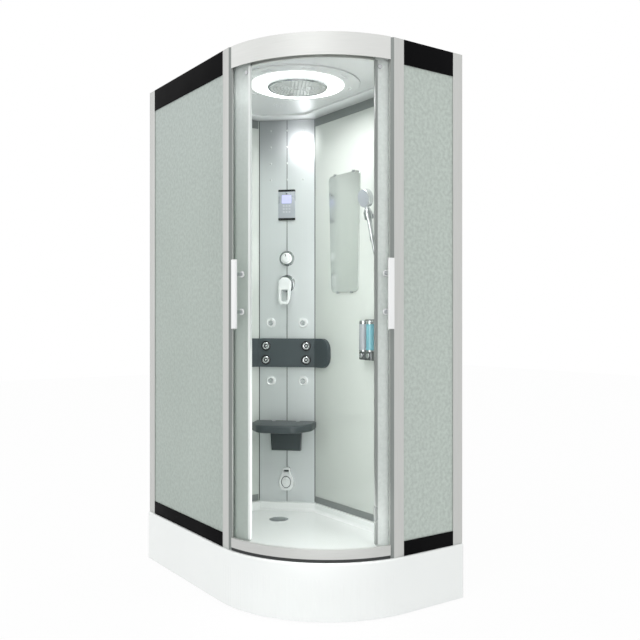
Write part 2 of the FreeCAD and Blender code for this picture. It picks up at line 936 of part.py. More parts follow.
def make_panel_rails():
    """Black top and bottom rails of the two side panels, grooved for the panes."""
    rails = []
    top = S.frame_top - S.top_band
    slot = S.slot_depth + S.fit_gap
    gap = S.fit_gap
    for name, low, high, slot_low, slot_high in (
            ("top", top, S.frame_top, top - 1, top + slot),
            ("bottom", S.tray_height, S.tray_height + S.bottom_band,
             S.tray_height + S.bottom_band - slot, S.tray_height + S.bottom_band + 1)):
        front = new_body(f"front_{name}_rail")
        start, stop = PROFILE_LEFT, ARC_X + S.post_start
        block(front, (start, FRONT_Y, low), (stop, FRONT_Y + S.panel_depth, high))
        out = FRONT_Y + S.glass_inset
        block(front, (start - 1, out - gap, slot_low), (stop + 1, out + S.glass_thickness + gap, slot_high),
              subtract=True)
        side = new_body(f"side_{name}_rail")
        start, stop = ARC_Y - S.post_start, PROFILE_REAR
        block(side, (SIDE_X - S.panel_depth, start, low), (SIDE_X, stop, high))
        out = SIDE_X - S.glass_inset
        block(side, (out - S.glass_thickness - gap, start - 1, slot_low), (out + gap, stop + 1, slot_high),
              subtract=True)
        rails += [front, side]
    return group("panel_rails", rails)


def make_fixed_glass():
    """The two frosted fixed panes, seated in the grooves around them."""
    low = S.tray_height + S.bottom_band - S.slot_depth
    high = S.frame_top - S.top_band + S.slot_depth
    front = new_body("front_pane")
    block(front, (PROFILE_LEFT - S.slot_depth, FRONT_Y + S.glass_inset, low),
          (ARC_X + S.post_start + S.slot_depth, FRONT_Y + S.glass_inset + S.glass_thickness, high))
    side = new_body("side_pane")
    block(side, (SIDE_X - S.glass_inset - S.glass_thickness, ARC_Y - S.post_start - S.slot_depth, low),
          (SIDE_X - S.glass_inset, PROFILE_REAR + S.slot_depth, high))
    return group("fixed_glass", [front, side])


# ---------------------------------------------------------------- curved rails

def rail_span():
    """Angle between the ends of the posts, less a small joint at each end."""
    ratio = (POST_END + S.fit_gap) / POST_INNER
    end = Formula(math.degrees(math.atan(ratio.value)), f"(atan({ratio.text}) / 1deg)")
    return 90 - end * 2


TRACK_INNER = GLASS_INNER - S.track_reach
TRACK_HOOK = S.rail_wall
WEB_LOW = S.ceiling - S.rail_web


def door_end(side):
    """Angle that the trailing edge of a door reaches when it is fully open."""
    if side == "left":
        return CORNER_MIDDLE - S.door_open_left - S.door_stop_left - S.door_arc - S.track_margin
    return CORNER_MIDDLE + S.door_open_right + S.door_arc + S.track_margin


def make_top_rail():
    """Curved cover rail between the posts, joined by its web to the track that carries the doors."""
    cover = new_body("top_rail_cover", around(CORNER_MIDDLE))
    ledge = TRACK_INNER + S.track_width
    revolve(cover, [
        (FRAME_RADIUS - S.rail_wall, RAIL_LOW),
        (FRAME_RADIUS, RAIL_LOW),
        (FRAME_RADIUS, S.frame_top),
        (FRAME_RADIUS - S.rail_wall, S.frame_top),
        (FRAME_RADIUS - S.rail_wall, S.ceiling),
        (TRACK_INNER, S.ceiling),
        (TRACK_INNER, RAIL_LOW),
        (ledge, RAIL_LOW),
        (ledge, RAIL_LOW + S.track_thickness),
        (TRACK_INNER + TRACK_HOOK, RAIL_LOW + S.track_thickness),
        (TRACK_INNER + TRACK_HOOK, WEB_LOW),
        (FRAME_RADIUS - S.rail_wall, WEB_LOW),
    ], rail_span())
    low = door_end("left")
    high = door_end("right")
    track = new_body("top_rail_track", around((low + high) / 2))
    reach = GLASS_OUTER
    revolve(track, [
        (TRACK_INNER, RAIL_LOW),
        (ledge, RAIL_LOW),
        (ledge, RAIL_LOW + S.track_thickness),
        (TRACK_INNER + TRACK_HOOK, RAIL_LOW + S.track_thickness),
        (TRACK_INNER + TRACK_HOOK, WEB_LOW),
        (reach, WEB_LOW),
        (reach, S.ceiling),
        (TRACK_INNER, S.ceiling),
    ], high - low)
    rail = document.addObject("Part::MultiFuse", "top_rail")
    rail.Shapes = [cover, track]
    rail.Refine = True
    rail.Label = "top_rail"
    return rail


def make_bottom_rail():
    """Curved threshold rail between the posts, with the channel that guides the doors' lower edges."""
    body = new_body("bottom_rail", around(CORNER_MIDDLE))
    low = S.tray_height + S.gasket_height
    high = low + S.bottom_rail_height
    inner = GLASS_INNER - S.guide_reach
    step = FRAME_RADIUS - S.bottom_rail_depth
    revolve(body, [
        (inner, low),
        (FRAME_RADIUS, low),
        (FRAME_RADIUS, high),
        (step, high),
        (step, low + S.guide_floor),
        (inner + S.guide_lip, low + S.guide_floor),
        (inner + S.guide_lip, low + S.guide_lip_height),
        (inner, low + S.guide_lip_height),
    ], rail_span())
    return body


def make_rail_gasket():
    """Dark gasket that seals the threshold rail on the tray's rim."""
    body = new_body("rail_gasket", around(CORNER_MIDDLE))
    inner = GLASS_INNER - S.guide_reach + S.gasket_inset
    outer = FRAME_RADIUS - S.gasket_inset
    high = S.tray_height + S.gasket_height
    revolve(body, [(inner, S.tray_height), (outer, S.tray_height), (outer, high), (inner, high)], rail_span())
    return body


# ---------------------------------------------------------------- doors

class Door:
    """One curved sliding door: angles about the arc centre, at the pose of the photograph."""

    def __init__(self, side):
        self.side = side
        self.away = -1 if side == "left" else 1
        half_gap = arc_angle(S.closed_gap / 2, GLASS_OUTER)
        opening = S.door_open_left if side == "left" else S.door_open_right
        self.lead = CORNER_MIDDLE + self.away * opening + self.away * half_gap
        self.trail = self.lead + self.away * S.door_arc
        self.handle = self.lead + self.away * S.handle_angle
        offset = arc_angle(S.carrier_offset, GLASS_INNER)
        self.carriers = {
            "front": self.lead + self.away * offset,
            "rear": self.trail - self.away * offset,
        }

    def name(self, piece):
        """Name of a piece of this door."""
        return f"{self.side}_{piece}"

    def pins(self, name, angle, heights, radius, start, stop):
        """Round pins pointing outwards at an angle, one at each height."""
        body = new_body(name, around(angle))
        for height in heights:
            cylinder(body, "x", (start, 0, height), radius, stop - start)
        return body

    def make_glass(self):
        """Curved pane with holes for the handle bolts and the carriers."""
        edge = arc_angle(S.seal_wall + S.fit_gap, GLASS_INNER)
        first = self.lead + self.away * edge
        body = new_body(self.name("door_pane"), around((first + self.trail) / 2))
        revolve(body, [
            (GLASS_INNER, S.door_bottom),
            (GLASS_OUTER, S.door_bottom),
            (GLASS_OUTER, S.door_top),
            (GLASS_INNER, S.door_top),
        ], S.door_arc - edge)
        gap = S.fit_gap
        start = GLASS_INNER - 5
        stop = GLASS_OUTER + 5
        drills = [self.pins(self.name("bolt_holes"), self.handle, (S.bolt_low, S.bolt_high),
                            S.bolt_radius + gap, start, stop)]
        for end, angle in self.carriers.items():
            drills.append(self.pins(self.name(f"{end}_carrier_hole"), angle, (S.carrier_height,),
                                    S.bolt_radius + gap, start, stop))
        return combine("Cut", self.name("door_glass"), body, drills)

    def make_seal(self):
        """Edge seal, a U in plan that clips over the leading edge of the glass."""
        body = new_body(self.name("door_seal"), around(self.lead))
        away = self.away
        inner = GLASS_INNER - S.seal_wall
        outer = GLASS_OUTER + S.seal_wall * 0.5
        floor = S.seal_wall * away
        end = S.seal_width * away
        gap = S.fit_gap
        pad(body, "XY_Plane", S.tray_height + S.gasket_height + S.bottom_rail_height + 4,
            RAIL_LOW - 4 - (S.tray_height + S.gasket_height + S.bottom_rail_height + 4), [
                (inner, 0), (outer, 0), (outer, end), (GLASS_OUTER + gap, end), (GLASS_OUTER + gap, floor),
                (GLASS_INNER - gap, floor), (GLASS_INNER - gap, end), (inner, end),
            ])
        return body

    def make_handle(self):
        """Upright bar on two stand-offs outside the glass, bored for the bolts."""
        body = new_body(self.name("door_handle"), around(self.handle))
        start = GLASS_OUTER + S.handle_standoff
        half = S.handle_width / 2
        pad(body, "XY_Plane", S.handle_low, S.handle_high - S.handle_low,
            rectangle(start, start + S.handle_depth, -half, half))
        fillet(body, S.handle_round, lambda edge, middle: is_upright(edge))
        for height in (S.bolt_low, S.bolt_high):
            cylinder(body, "x", (GLASS_OUTER + S.fit_gap, 0, height), S.standoff_radius,
                     S.handle_standoff)
        for height in (S.bolt_low, S.bolt_high):
            cylinder(body, "x", (GLASS_OUTER - 1, 0, height), S.bolt_radius + S.fit_gap,
                     S.bolt_grip + 2, subtract=True)
        return body

    def make_fittings(self):
        """Handle bolts with inner caps, roller carriers and bottom guides, each a solid of its own."""
        pieces = []
        for number, height in enumerate((S.bolt_low, S.bolt_high), start=1):
            bolt = new_body(self.name(f"bolt_{number}"), around(self.handle))
            start = GLASS_INNER - S.fit_gap
            cylinder(bolt, "x", (start - S.cap_depth, 0, height), S.cap_radius, S.cap_depth)
            cylinder(bolt, "x", (start, 0, height), S.bolt_radius,
                     S.fit_gap + S.glass_thickness + S.bolt_grip)
            pieces.append(bolt)
        for end, angle in self.carriers.items():
            pieces.append(self.make_carrier(end, angle))
            guide = new_body(self.name(f"{end}_guide"), around(angle))
            low = S.tray_height + S.gasket_height + S.guide_floor + 1
            inner = GLASS_INNER - S.guide_reach + S.guide_lip + 1
            half = S.guide_block / 2
            block(guide, (inner, -half, low), (GLASS_INNER - S.fit_gap, half, S.door_bottom + 20))
            block(guide, (GLASS_INNER - 1, -half, low), (GLASS_OUTER, half, S.door_bottom - S.fit_gap))
            pieces.append(guide)
        return group(self.name("door_fittings"), pieces)

    def make_carrier(self, end, angle):
        """Arm from a bolt in the glass up to the roller's axle above the track."""
        carrier = new_body(self.name(f"{end}_carrier"), around(angle))
        height = S.carrier_height
        inner = GLASS_INNER - S.fit_gap
        arm = inner - S.track_thickness * 0.5
        half = S.carrier_arm_width / 2
        axle = roller_height()
        block(carrier, (arm - S.carrier_arm, -half, height - half), (arm, half, axle + half * 0.8))
        cylinder(carrier, "x", (inner - S.carrier_depth, 0, height), S.carrier_radius, S.carrier_depth)
        cylinder(carrier, "x", (inner, 0, height), S.bolt_radius, S.glass_thickness + S.fit_gap * 2)
        cylinder(carrier, "x", (GLASS_OUTER + S.fit_gap, 0, height), S.carrier_radius, S.carrier_cap)
        start = TRACK_INNER + TRACK_HOOK + S.fit_gap
        cylinder(carrier, "x", (start, 0, axle), S.axle_radius, arm - start)
        return carrier

    def make_roller(self, end):
        """Roller that runs on the track, bored for its axle."""
        body = new_body(self.name(f"{end}_roller"), around(self.carriers[end]))
        start = TRACK_INNER + TRACK_HOOK + 1.4
        axle = roller_height()
        cylinder(body, "x", (start, 0, axle), S.roller_radius, S.roller_width)
        cylinder(body, "x", (start - 1, 0, axle), S.axle_radius + S.roller_bore_gap,
                 S.roller_width + 2, subtract=True)
        return body


def roller_height():
    """Height of the roller axles, the rollers standing just on the track."""
    return RAIL_LOW + S.track_thickness + S.fit_gap * 0.5 + S.roller_radius


# ---------------------------------------------------------------- rear walls and column

def make_rear_walls():
    """Pale glass panes along the two room walls, standing on the tray's ledge."""
    left = new_body("rear_wall_left")
    block(left, (WALL_X - S.wall_thickness, FRONT_Y + S.profile_depth, S.ledge_height),
          (WALL_X, WALL_Y - S.column_cut, S.ceiling))
    right = new_body("rear_wall_right")
    block(right, (WALL_X + S.column_cut, WALL_Y, S.ledge_height),
          (SIDE_X - S.profile_depth, WALL_Y + S.wall_thickness, S.ceiling))
    return left, right


def make_wall_trims():
    """Dark strips: along the foot and the head of each wall, at the column's edges and in its seam."""
    strips = []
    thick = S.trim_thickness
    low, high = S.ledge_height, S.ceiling
    away = S.edge_strip
    for name, start, stop in (("foot", low, low + S.trim_low), ("head", high - S.trim_high, high)):
        left = new_body(f"left_{name}_strip")
        block(left, (WALL_X, FRONT_Y + S.profile_depth, start),
              (WALL_X + thick, WALL_Y - S.column_cut - away, stop))
        right = new_body(f"right_{name}_strip")
        block(right, (WALL_X + S.column_cut + away, WALL_Y - thick, start),
              (SIDE_X - S.profile_depth, WALL_Y, stop))
        strips += [left, right]
    half = S.column_seam / 2
    start = low
    crossings = (
        (S.outlet_height, S.steam_pipe_radius + S.fit_gap),
        (S.mixer_height, S.spindle_radius + 3),
        (SELECTOR_HEIGHT, S.spindle_radius + 3),
    )
    for number, (middle, gap) in enumerate(crossings, start=1):
        seam = new_body(f"seam_strip_{number}", COLUMN)
        block(seam, (-half, S.panel_sheet * 0.5, start), (half, S.panel_sheet, middle - gap))
        strips.append(seam)
        start = middle + gap
    seam = new_body("seam_strip_top", COLUMN)
    block(seam, (-half, S.panel_sheet * 0.5, start), (half, S.panel_sheet, high))
    strips.append(seam)
    for name, side in (("left", -1), ("right", 1)):
        strip = new_body(f"{name}_edge_strip", COLUMN)
        edges = sorted((side * (COLUMN_HALF - away), side * COLUMN_HALF), key=lambda number: number.value)
        block(strip, (edges[0], 0, low), (edges[1], thick, high))
        strips.append(strip)
    return group("wall_trims", strips)


def nozzle_places():
    """Places of the small nozzles on the column: along it and up."""
    places = []
    for row_number in range(4):
        for across in (-1, 0, 1):
            places.append((across * S.nozzle_spread, S.nozzle_top - row_number * S.nozzle_pitch, across))
    return places


def jet_places():
    """Places of the swivelling jets on the column."""
    return [(-S.jet_spread, S.jet_high), (S.jet_spread, S.jet_high),
            (-S.jet_spread, S.jet_low), (S.jet_spread, S.jet_low)]


def make_column_panels():
    """Two brushed sheets with flanges turned back, holed for nozzles, jets, valves and steam."""
    sheets = []
    for name, side in (("left", -1), ("right", 1)):
        body = new_body(f"{name}_column_panel", COLUMN)
        inner = side * (S.column_seam / 2)
        outer = side * (COLUMN_HALF - S.edge_strip)
        low_s, high_s = (outer, inner) if side < 0 else (inner, outer)
        sheet_y = S.panel_sheet
        block(body, (low_s, 0, S.ledge_height), (high_s, S.panel_flange, S.ceiling))
        block(body, (low_s + sheet_y, sheet_y, S.ledge_height - 1),
              (high_s - sheet_y, S.panel_flange + 1, S.ceiling + 1), subtract=True)
        gap = S.fit_gap
        holes = []
        for across, height, where in nozzle_places():
            if where == side or where == 0:
                holes.append((across, height, S.nozzle_shank + gap))
        for across, height in jet_places():
            if (across.value > 0) == (side > 0):
                holes.append((across, height, S.jet_sleeve + gap))
        holes.append((formula(0), SELECTOR_HEIGHT, S.spindle_radius + 3))
        holes.append((formula(0), S.mixer_height, S.spindle_radius + 3))
        holes.append((formula(0), S.outlet_height, S.steam_pipe_radius + gap))
        for across, height, radius in holes:
            cylinder(body, "y", (across, -1, height), radius, S.panel_flange + 2, subtract=True)
        sheets.append(body)
    return group("column_panels", sheets)


def make_column_nozzles():
    """Small fixed nozzles, each with a shank through the panel."""
    nozzles = []
    for number, (across, height, where) in enumerate(nozzle_places(), start=1):
        body = new_body(f"nozzle_{number}", COLUMN)
        cylinder(body, "-y", (across, 0, height), S.nozzle_radius, S.nozzle_height)
        cylinder(body, "y", (across, 0, height), S.nozzle_shank,
                 S.nozzle_shank_length if where else S.panel_sheet * 0.5)
        nozzles.append(body)
    return group("column_nozzles", nozzles)


# ---------------------------------------------------------------- controls

def make_control_panel():
    """Box of the touch panel, recessed for its display."""
    body = new_body("control_panel", COLUMN)
    half = S.panel_width / 2
    pad(body, "XZ_Plane", 0, S.panel_thickness, rectangle(-half, half, PANEL_LOW, PANEL_HIGH))
    fillet(body, S.panel_round, lambda edge, middle: close(middle.y, -S.panel_thickness))
    half = S.display_width / 2 + S.fit_gap
    block(body, (-half, -S.panel_thickness - 1, DISPLAY_LOW - S.fit_gap),
          (half, S.display_depth - S.panel_thickness, DISPLAY_HIGH + S.fit_gap), subtract=True)
    return body


def make_control_display():
    """Display window seated in the panel's recess."""
    body = new_body("control_display", COLUMN)
    half = S.display_width / 2
    block(body, (-half, -S.panel_thickness, DISPLAY_LOW),
          (half, S.display_depth - S.panel_thickness, DISPLAY_HIGH))
    return body


def make_valve_plates():
    """Round wall plates of the diverter and of the mixer."""
    plates = []
    for name, height, radius, depth in (
            ("selector", SELECTOR_HEIGHT, S.selector_plate, S.selector_plate_depth),
            ("mixer", S.mixer_height, S.mixer_plate, S.mixer_plate_depth)):
        plate = new_body(f"{name}_plate", COLUMN)
        bore = S.spindle_radius + S.roller_bore_gap
        revolve_forward(plate, [
            (bore, 0),
            (radius, 0),
            (radius, depth * 0.5),
            (radius - depth * 0.5, depth),
            (bore, depth),
        ], height)
        plates.append(plate)
    return group("valve_plates", plates)


def make_selector_knob():
    """Diverter knob with a collar and a shaft through its plate."""
    body = new_body("selector_knob", COLUMN)
    start = S.selector_plate_depth + S.fit_gap
    end = start + S.selector_depth
    revolve_forward(body, [
        (0, -S.spindle_back),
        (S.spindle_radius, -S.spindle_back),
        (S.spindle_radius, start),
        (S.selector_radius, start),
        (S.selector_radius, end - 5),
        (S.selector_radius - 4, end),
        (0, end),
    ], SELECTOR_HEIGHT)
    return body


def make_mixer_spindle():
    """Cartridge spindle: a shaft through the plate with a ball on which the lever rocks."""
    body = new_body("mixer_spindle_shaft", COLUMN)
    cylinder(body, "y", (0, -S.ball_centre, S.mixer_height), S.spindle_radius, S.ball_centre + S.spindle_back)
    ball = new_body("mixer_spindle_ball", COLUMN)
    sphere(ball, (0, -S.ball_centre, S.mixer_height), S.ball_radius)
    room = new_body("mixer_spindle_room", COLUMN)
    start = S.mixer_plate_depth + S.fit_gap
    block(room, (-S.mixer_plate, -S.ball_centre * 4, S.mixer_height - S.mixer_plate),
          (S.mixer_plate, -start, S.mixer_height + S.mixer_plate))
    cap = combine("Common", "mixer_spindle_cap", ball, [room])
    spindle = document.addObject("Part::MultiFuse", "mixer_spindle")
    spindle.Shapes = [body, cap]
    spindle.Label = "mixer_spindle"
    return spindle


def sphere(body, centre, radius):
    """A ball added to a body."""
    feature = document.addObject("PartDesign::AdditiveSphere", body.Name + "_sphere")
    radius = formula(radius)
    feature.Radius = radius.value
    feature.setExpression("Radius", radius.text)
    centre = [formula(number) for number in centre]
    feature.Placement = Placement(Vector(*(number.value for number in centre)), Rotation())
    for axis, number in zip("xyz", centre):
        feature.setExpression(f"Placement.Base.{axis}", number.text)
    body.addObject(feature)
    body.Tip = feature
    return feature


def make_mixer_lever():
    """Loop lever: a hub that sits over the ball and a slanting loop with a window, rocked forward to open."""
    height = S.mixer_height
    top = height + S.lever_top
    low = height - S.lever_drop
    thick = S.lever_thickness
    root = S.ball_centre + 4
    side = new_body("lever_side", COLUMN)
    half = S.lever_width / 2
    front = S.ball_centre + S.ball_radius + 6
    pad(side, "YZ_Plane", -half, S.lever_width, [
        (-root, top),
        (-front, top),
        (-front - 3, height - S.lever_top * 0.4),
        (-S.lever_reach, low),
        (thick - S.lever_reach, low),
        (-root - thick, height - S.lever_root),
        (-root, height - S.lever_root),
    ])
    face = new_body("lever_face", COLUMN)
    rim = S.lever_rim
    waist = height - S.lever_root
    pad(face, "XZ_Plane", 0, S.lever_reach + 10, [
        (half, height),
        (-half, height, formula(0), height, 1),
        (-half + 2, low + half * 0.7),
        (-half * 0.55, low),
        (half * 0.55, low),
        (half - 2, low + half * 0.7),
    ], [
        (half - rim, waist - 4),
        (rim - half, waist - 4),
        (rim - half, low + rim + 8),
        (rim - half * 0.75, low + rim),
        (half * 0.75 - rim, low + rim),
        (half - rim, low + rim + 8),
    ])
    blank = combine("Common", "lever_blank", side, [face])
    socket = new_body("lever_socket", COLUMN)
    sphere(socket, (0, -S.ball_centre, height), S.ball_radius + S.fit_gap)
    return combine("Cut", "mixer_lever", blank, [socket])


def make_mixing_valve():
    """Brass body behind the column: crosspiece, diverter branch and two threaded inlets."""
    body = new_body("mixing_valve", COLUMN)
    depth = S.valve_depth
    span = S.valve_span
    cylinder(body, "x", (-span, depth, S.mixer_height), S.valve_radius, span * 2)
    cylinder(body, "z", (0, depth, S.mixer_height), S.valve_radius,
             SELECTOR_HEIGHT - S.mixer_height + S.valve_radius)
    for across in (-1, 1):
        x = across * (span - S.inlet_radius * 1.5)
        base = S.mixer_height - S.inlet_drop
        cylinder(body, "-z", (x, depth, S.mixer_height), S.inlet_radius + 3, S.inlet_drop - S.inlet_length)
        cylinder(body, "z", (x, depth, base), S.inlet_radius, S.inlet_length + 5)
    for height in (S.mixer_height, SELECTOR_HEIGHT):
        cylinder(body, "-y", (0, depth, height), S.spindle_radius + 2, depth - S.panel_sheet - 8)
        cylinder(body, "y", (0, -1, height), S.spindle_radius + S.roller_bore_gap,
                 S.spindle_back + 2, subtract=True)
    return body


def riser_foot():
    """Where the riser stands behind the column."""
    back = S.valve_depth * math.sqrt(0.5)
    return COLUMN_X - back, COLUMN_Y + back


def make_riser_pipe():
    """Pipe from the diverter up behind the column and square across the roof to the rain head."""
    body = new_body("riser_pipe")
    radius = S.riser_radius
    start = SELECTOR_HEIGHT + S.valve_radius
    top = S.riser_top
    foot_x, foot_y = riser_foot()
    cylinder(body, "z", (foot_x, foot_y, start), radius, top - start)
    cylinder(body, "x", (foot_x, foot_y, top), radius, S.rain_x - foot_x)
    cylinder(body, "-y", (S.rain_x, foot_y, top), radius, foot_y - S.rain_y)
    cylinder(body, "z", (S.rain_x, S.rain_y, stem_top()), radius, top - stem_top())
    for x, y in ((foot_x, foot_y), (S.rain_x, foot_y), (S.rain_x, S.rain_y)):
        sphere(body, (x, y, top), radius + S.riser_fitting)
    return body


def stem_top():
    """Height above the roof where the rain head's stem meets the pipe."""
    return S.ceiling + S.roof_thickness + 2


# ---------------------------------------------------------------- jets and pad

def make_jet_housings():
    """Rings of the swivelling jets, each with a sleeve through the column and a round socket."""
    rings = []
    socket = S.jet_ball + S.jet_ball_gap
    for number, (across, height) in enumerate(jet_places(), start=1):
        ring = new_body(f"jet_ring_{number}", COLUMN)
        cylinder(ring, "-y", (across, 0, height), S.jet_radius, S.jet_depth)
        fillet(ring, 2, lambda edge, middle: close(middle.y, -S.jet_depth))
        cylinder(ring, "y", (across, -1, height), S.jet_sleeve, S.jet_sleeve_length + 1)
        cylinder(ring, "y", (across, 0, height), S.jet_sleeve - S.jet_sleeve_wall,
                 S.jet_sleeve_length + 1, subtract=True)
        hollow = new_body(f"jet_socket_{number}", COLUMN)
        sphere(hollow, (across, -S.jet_ball_centre, height), socket)
        rings.append(combine("Cut", f"jet_housing_{number}", ring, [hollow]))
    return group("jet_housings", rings)


def make_body_jet(number, across, height):
    """Ball of a swivelling jet, flat in front with a recessed spray face."""
    ball = new_body(f"jet_ball_{number}", COLUMN)
    sphere(ball, (across, -S.jet_ball_centre, height), S.jet_ball)
    trim = new_body(f"jet_trim_{number}", COLUMN)
    front = S.jet_ball_centre + S.jet_nose + 1
    size = S.jet_ball * 2
    block(trim, (across - size, -front - size, height - size), (across + size, -front, height + size))
    cylinder(trim, "y", (across, -front - 1, height), S.jet_nose - 2, 3)
    return combine("Cut", f"body_jet_{number}", ball, [trim])


def make_massage_pad():
    """Pad across the column whose two wings run along the walls, with rounded ends and jet seats."""
    body = new_body("massage_pad", COLUMN)
    root = math.sqrt(0.5)
    wall = COLUMN_HALF - S.fit_gap * 2
    bend = wall - S.pad_wing_thickness * math.sqrt(2)
    inner_bend = bend + S.pad_depth
    tip_s = inner_bend + S.pad_wing
    tip_p = S.pad_depth + S.pad_wing
    back_s = tip_s + S.pad_wing_thickness * root
    back_p = tip_p - S.pad_wing_thickness * root
    right = [(wall, 0), (back_s, -back_p), (tip_s, -tip_p), (inner_bend, -S.pad_depth)]
    left = [(-point[0], point[1]) for point in reversed(right)]
    pad(body, "XY_Plane", S.pad_low, S.pad_high - S.pad_low, left + right)
    document.recompute()
    fillet(body, S.pad_round, lambda edge, middle: not is_upright(edge)
           and close(abs(middle.x), (back_s + tip_s) / 2, 1) and len(edge.Vertexes) == 2)
    for across in (-1, 1):
        for height in (S.pad_jet_high, S.pad_jet_low):
            cylinder(body, "y", (across * S.pad_jet_spread, -S.pad_depth - 1, height),
                     S.pad_jet_cup, S.pad_depth - 4, subtract=True)
    return body


def make_pad_jets():
    """Four jets of the pad: a ring on the face and a cup in the pad, with a ball in the middle."""
    jets = []
    face = S.pad_depth
    cup = S.pad_jet_cup - S.fit_gap
    number = 0
    for across in (-1, 1):
        for height in (S.pad_jet_high, S.pad_jet_low):
            number += 1
            jet = new_body(f"pad_jet_{number}", COLUMN)
            x = across * S.pad_jet_spread
            cylinder(jet, "-y", (x, -face, height), S.pad_jet_radius, S.pad_jet_depth)
            fillet(jet, 2, lambda edge, middle: close(middle.y, -S.pad_depth - S.pad_jet_depth))
            cylinder(jet, "y", (x, -face - 1, height), cup, S.pad_depth * 0.5)
            cylinder(jet, "y", (x, -face - S.pad_jet_depth - 1, height), S.pad_jet_cup * 0.7, 4, subtract=True)
            jets.append(jet)
    return group("pad_jets", jets)


# ---------------------------------------------------------------- seat

SEAT_MIDDLE = S.seat_top - S.seat_thickness / 2


def make_seat_bracket():
    """Tapered bracket under the seat with two ears and the hinge pin through them."""
    body = new_body("seat_bracket_body", COLUMN)
    pad(body, "XZ_Plane", 0, S.bracket_depth, [
        (-S.bracket_bottom_half, S.bracket_low),
        (S.bracket_bottom_half, S.bracket_low),
        (S.bracket_top_half, S.bracket_high - S.bracket_gap),
        (-S.bracket_top_half, S.bracket_high - S.bracket_gap),
    ])
    fillet(body, S.bracket_round, lambda edge, middle: close(middle.y, -S.bracket_depth)
           and not close(middle.z, S.bracket_high - S.bracket_gap))
    for across in (-1, 1):
        centre = across * S.ear_centre
        half = S.ear_width / 2
        block(body, (centre - half, -S.seat_pivot, SEAT_MIDDLE - S.ear_radius - 40),
              (centre + half, 0, SEAT_MIDDLE + S.ear_radius))
        cylinder(body, "x", (centre - half, -S.seat_pivot, SEAT_MIDDLE), S.ear_radius, S.ear_width)
        cylinder(body, "x", (centre - half - 1, -S.seat_pivot, SEAT_MIDDLE),
                 S.pin_radius + S.pin_gap, S.ear_width + 2, subtract=True)
    block(body, (-S.seat_half, -S.seat_pivot - S.ear_radius - 1, SEAT_MIDDLE - S.ear_radius - 45),
          (S.seat_half, -S.bracket_depth, SEAT_MIDDLE - S.ear_radius - 0.5), subtract=True)
    pin = new_body("seat_pin", COLUMN)
    reach = S.ear_centre + S.ear_width
    cylinder(pin, "x", (-reach, -S.seat_pivot, SEAT_MIDDLE), S.pin_radius, reach * 2)
    return group("seat_bracket", [body, pin])


def make_seat():
    """Folding seat: a rounded slab with two notches for the ears and bores for the pin."""
    body = new_body("seat", COLUMN)
    low = S.seat_top - S.seat_thickness
    pad(body, "XY_Plane", low, S.seat_thickness, mirrored([
        (S.seat_half * 0.62, -S.seat_front),
        (S.seat_half, -S.seat_side),
        (S.seat_half, -S.seat_back),
    ]))
    fillet(body, S.seat_round, lambda edge, middle: is_upright(edge)
           and not close(middle.y, -S.seat_back))
    fillet(body, S.seat_edge, lambda edge, middle: not is_upright(edge) and (
        close(middle.z, S.seat_top) or close(middle.z, low)) and middle.y < -S.seat_back.value - 1)
    for across in (-1, 1):
        centre = across * S.ear_centre
        half = S.ear_width / 2 + S.notch_gap
        block(body, (centre - half, -S.seat_pivot - S.notch_half, low - 1),
              (centre + half, 1 - S.seat_back, S.seat_top + 1), subtract=True)
    reach = S.ear_centre + S.ear_width + 1
    cylinder(body, "x", (-reach, -S.seat_pivot, SEAT_MIDDLE), S.pin_radius + S.pin_gap, reach * 2,
             subtract=True)
    return body


# ---------------------------------------------------------------- steam

def make_steam_outlet():
    """Oval steam outlet with a raised neck and a slot for scent, fed from behind."""
    body = new_body("steam_outlet", COLUMN)
    height = S.outlet_height
    wide = S.outlet_half_width
    tall = S.outlet_half_height
    shoulder = tall * 0.5
    pad(body, "XZ_Plane", 0, S.outlet_depth, [
        (-wide * 0.6, height - tall),
        (wide * 0.6, height - tall),
        (wide, height - shoulder),
        (wide, height + shoulder * 0.5),
        (S.outlet_neck, height + tall),
        (S.outlet_neck * 0.8, S.outlet_top),
        (-S.outlet_neck * 0.8, S.outlet_top),
        (-S.outlet_neck, height + tall),
        (-wide, height + shoulder * 0.5),
        (-wide, height - shoulder),
    ])
    fillet(body, S.outlet_round, lambda edge, middle: abs(middle.y + S.outlet_depth.value / 2) < 1
           and len(edge.Vertexes) == 2)
    fillet(body, S.outlet_round * 0.5, lambda edge, middle: close(middle.y, -S.outlet_depth))
    block(body, (-S.outlet_slot_half, -S.outlet_depth - 1, S.outlet_slot_low),
          (S.outlet_slot_half, -S.outlet_depth * 0.4, S.outlet_slot_high), subtract=True)
    cylinder(body, "y", (0, -S.outlet_depth * 0.6, height), S.steam_pipe_radius, S.outlet_depth,
             subtract=True)
    return body


def make_steam_generator():
    """Steam generator behind the column with a pipe down to the outlet."""
    body = new_body("steam_generator", COLUMN)
    half = S.generator_half
    block(body, (-half, S.generator_front, S.generator_low), (half, S.generator_back, S.generator_high))
    cylinder(body, "-z", (0, S.steam_pipe_depth, S.generator_low), S.steam_pipe_radius,
             S.generator_low - S.outlet_height)
    sphere(body, (0, S.steam_pipe_depth, S.outlet_height), S.steam_pipe_radius)
    cylinder(body, "-y", (0, S.steam_pipe_depth, S.outlet_height), S.steam_pipe_radius,
             S.steam_pipe_depth)
    return body


# ---------------------------------------------------------------- wall equipment

def make_mirror():
    """Mirror that widens towards its top, flat on the rear wall."""
    body = new_body("mirror", REAR_WALL)
    pad(body, "XZ_Plane", 0, S.mirror_thickness, [
        (S.mirror_bottom_left, S.mirror_bottom),
        (S.mirror_bottom_right, S.mirror_bottom),
        (S.mirror_top_right, S.mirror_top),
        (S.mirror_top_left, S.mirror_top),
    ])
    fillet(body, S.mirror_round, lambda edge, middle: abs(middle.y + S.mirror_thickness.value / 2) < 0.1
           and len(edge.Vertexes) == 2)
    return body


